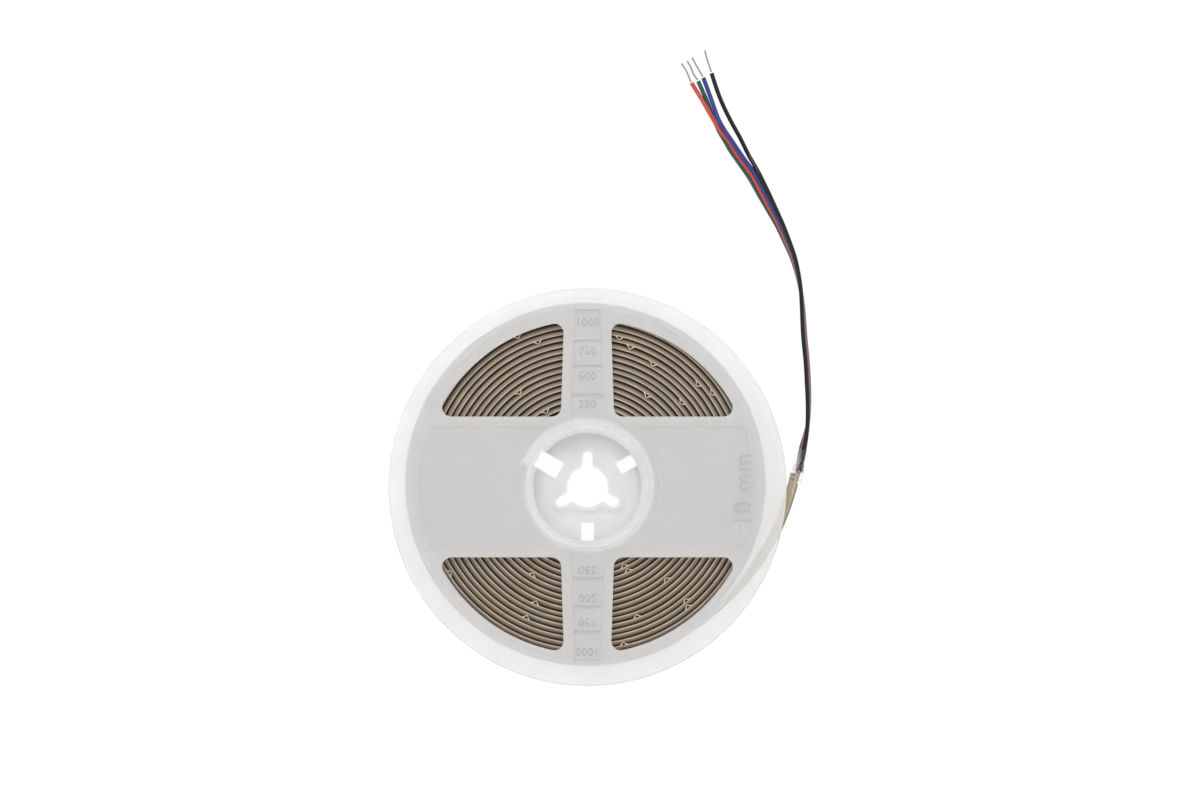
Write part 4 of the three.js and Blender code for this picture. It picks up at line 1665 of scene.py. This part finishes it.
@dataclass
class Splice:
    """Solder joints on the board's end under a clear heat-shrunk sleeve."""

    core_stand_off: float = 1.025
    core_radius: float = 0.6
    solder_length: float = 2.2
    solder_height: float = 0.9
    solder_width: float = 1.2
    solder_setback: float = 0.3
    solder_rows: int = 12
    solder_sides: int = 16
    clearance: float = 0.3
    wall: float = 0.16
    over_strip: float = 2.6
    over_lead: float = 8.4
    sleeve_steps: int = 22
    sleeve_sides: int = 32
    # The sleeve shrinks from the strip to the lead over this share of what covers the lead
    shrink_share: float = 0.55
    # Its wall on the liner's side over the strip, and how much nearer both walls draw over the lead
    strip_side: float = 0.725
    liner_draw: float = 0.35
    core_draw: float = 0.3
    # Powers that make its section nearly flat over the cores and round at the edges
    flatness: float = 0.45
    roundness: float = 0.8
    core_groove: float = 0.1
    # Boxes in the splice's own axes, as [along, towards the hub, up], low and high
    pad_span: tuple[Point3, Point3] = ((-3.0, -0.215, -0.62), (-0.15, -0.12, 0.62))
    mark_span: tuple[Point3, Point3] = ((-0.95, 0.42, -4.6), (-0.15, 0.455, 2.4))
    stub_from: float = -1.6
    stub_to: float = 1.0
    stub_radius: float = 0.28
    stub_sides: int = 14
    stub_steps: int = 4
    mark_count: int = 3
    mark_pitch: float = 1.5
    # Angles over which an edge stays sharp
    solder_shade_angle: float = 80
    stub_shade_angle: float = 50
    sleeve_shade_angle: float = 40

    @staticmethod
    def core_height(rank: int) -> float:
        """Returns the height of a core over the middle of the lead."""
        return ((len(CORES) - 1) / 2 - rank) * CORE_PITCH_MM

    @staticmethod
    def local() -> Matrix:
        """Returns the turn and place of the splice, in millimetres about the reel's axis."""
        turn = Matrix.Rotation(math.radians(SPLICE_HEADING), 4, "Z")
        lean = Matrix.Rotation(math.radians(SPLICE_LEAN), 4, "X")
        return Matrix.Translation(SPLICE_MM) @ turn @ lean

    def solder_depth(self) -> float:
        """Returns how far the middle of a solder joint lies from the middle of the board."""
        return BOARD_HALF_MM + self.clearance / 3 + self.solder_height / 2

    def skin(
        self,
        name: str,
        rings: Sequence[Sequence[Sequence[float]]],
        shade_angle: float,
        loop: bool = False,
    ) -> Piece:
        """Skins rings that are given in the splice's own axes.

        Args:
            name: Name of the piece.
            rings: The rings, each clockwise seen from the row's start.
            shade_angle: The angle over which an edge stays sharp.
            loop: Whether the last ring joins the first.

        Returns:
            The piece.
        """
        local = self.local()
        placed = [[local @ Vector(point) for point in reversed(ring)] for ring in rings]
        piece = sweep(name, placed, loop)
        shade_by_angle(piece, shade_angle)
        return piece

    def build_joints(self) -> None:
        """Makes the four solder joints."""
        back = -self.solder_setback - self.solder_length / 2
        for rank, name in enumerate(CORES):
            centre = Vector((back, -self.solder_depth(), self.core_height(rank)))
            rings = []
            for row in range(1, self.solder_rows):
                angle = math.pi * row / self.solder_rows
                along = -math.cos(angle) * self.solder_length / 2
                rings.append([centre + Vector((
                    along,
                    math.sin(angle) * y * self.solder_height / 2,
                    math.sin(angle) * z * self.solder_width / 2,
                )) for y, z in circle(1.0, self.solder_sides)])
            joint = self.skin(f"{name}_solder", rings, self.solder_shade_angle)
            dress(joint, BRIGHT_SOLDER, "solder", f"solder_joint_{name}")

    def boxes(self, name: str, span: tuple[Point3, Point3], shifts: Sequence[Point3]) -> Piece:
        """Makes one small block for each shift, in the splice's own axes.

        Args:
            name: Name of the piece.
            span: Low and high corner of a block.
            shifts: Where each block goes.

        Returns:
            The piece.
        """
        local = self.local()
        (x0, y0, z0), (x1, y1, z1) = span
        foot = ((x0, y0), (x1, y0), (x1, y1), (x0, y1))
        corners = [Vector((x, y, z)) for z in (z0, z1) for x, y in foot]
        return blocks(name, [[local @ (corner + Vector(shift)) for corner in corners]
                             for shift in shifts])

    def build_pads(self) -> None:
        """Makes the pads that the cores are soldered to."""
        shifts = [(0.0, 0.0, self.core_height(rank)) for rank in range(len(CORES))]
        dress(self.boxes("solder_pads", self.pad_span, shifts), TINNED_PAD, "solder")

    def build_stubs(self) -> None:
        """Makes the bared conductors that run from the cores into the solder."""
        outline = circle(self.stub_radius, self.stub_sides)
        for rank, name in enumerate(CORES):
            up = self.core_height(rank)
            start = Vector((self.stub_from, -self.solder_depth(), up))
            end = Vector((self.stub_to, -self.core_stand_off, up))
            path = [start.lerp(end, step / self.stub_steps) for step in range(self.stub_steps + 1)]
            rings = [[point + Vector((0.0, y, z)) for y, z in outline] for point in path]
            stub = self.skin(f"{name}_bared_conductor", rings, self.stub_shade_angle)
            dress(stub, TINNED_STRANDS, "tinned_copper")

    def build_marks(self) -> None:
        """Makes the bars printed on the back of the board's end."""
        shifts = [(-index * self.mark_pitch, 0.0, 0.0) for index in range(self.mark_count)]
        dress(self.boxes("printed_bars", self.mark_span, shifts), PRINTED_GREEN, "release_liner")

    def sleeve_section(self, along: float, wall: float) -> list[Point3]:
        """Returns the sleeve's ring at a place along the splice.

        Args:
            along: Place along the strip, from the board's end.
            wall: How far outside the sleeve's inner face the ring runs.

        Returns:
            Points in the splice's own axes.
        """
        over = smoothstep((along - self.clearance) / (self.shrink_share * self.over_lead))
        cores_half = self.core_height(0) + self.core_radius + self.clearance
        half_height = (STRIP_HALF_MM + self.clearance) * (1 - over) + cores_half * over
        lead_side = self.liner_draw - (self.core_stand_off - self.core_radius)
        liner_side = self.strip_side * (1 - over) + lead_side * over
        reach = self.core_stand_off + self.core_radius + self.clearance
        core_side = self.core_draw * over - reach
        middle, half_depth = (liner_side + core_side) / 2, (liner_side - core_side) / 2
        points = []
        for c, s in circle(1.0, self.sleeve_sides):
            y = math.copysign(abs(c) ** self.flatness, c) * (half_depth + wall)
            z = math.copysign(abs(s) ** self.roundness, s) * (half_height + wall)
            between = 1 - math.cos(2 * math.pi * (z / CORE_PITCH_MM))
            groove = self.core_groove * over * between * abs(c)
            points.append((along, middle + y - math.copysign(groove, c), z))
        return points

    def build_sleeve(self) -> None:
        """Makes the open-ended clear sleeve with its wall."""
        step = (self.over_strip + self.over_lead) / self.sleeve_steps
        places = [-self.over_strip + step * index for index in range(self.sleeve_steps + 1)]
        outer = [self.sleeve_section(along, self.wall) for along in places]
        inner = [self.sleeve_section(along, 0.0) for along in reversed(places)]
        sleeve = self.skin("clear_sleeve", [*outer, *inner], self.sleeve_shade_angle, loop=True)
        dress(sleeve, CLEAR_POLYOLEFIN, "clear_sleeve", "heat_shrink_sleeve")

    def build(self) -> None:
        """Makes the pads, the bared conductors, the solder, the printed bars and the sleeve."""
        self.build_pads()
        self.build_stubs()
        self.build_joints()
        self.build_marks()
        self.build_sleeve()


def main() -> None:
    """Builds the scene."""
    logging.basicConfig(level=logging.INFO, format="%(message)s")
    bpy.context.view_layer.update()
    bpy.context.scene.view_settings.view_transform = "Standard"
    studio = Studio()
    studio.place_camera()
    Lead().build()
    studio.light()
    studio.lay_floor()
    Reel().build_lower()
    Reel().build_upper()
    RaisedMarks().build()
    Strip().build()
    Splice().build()


if __name__ == "__main__":
    main()
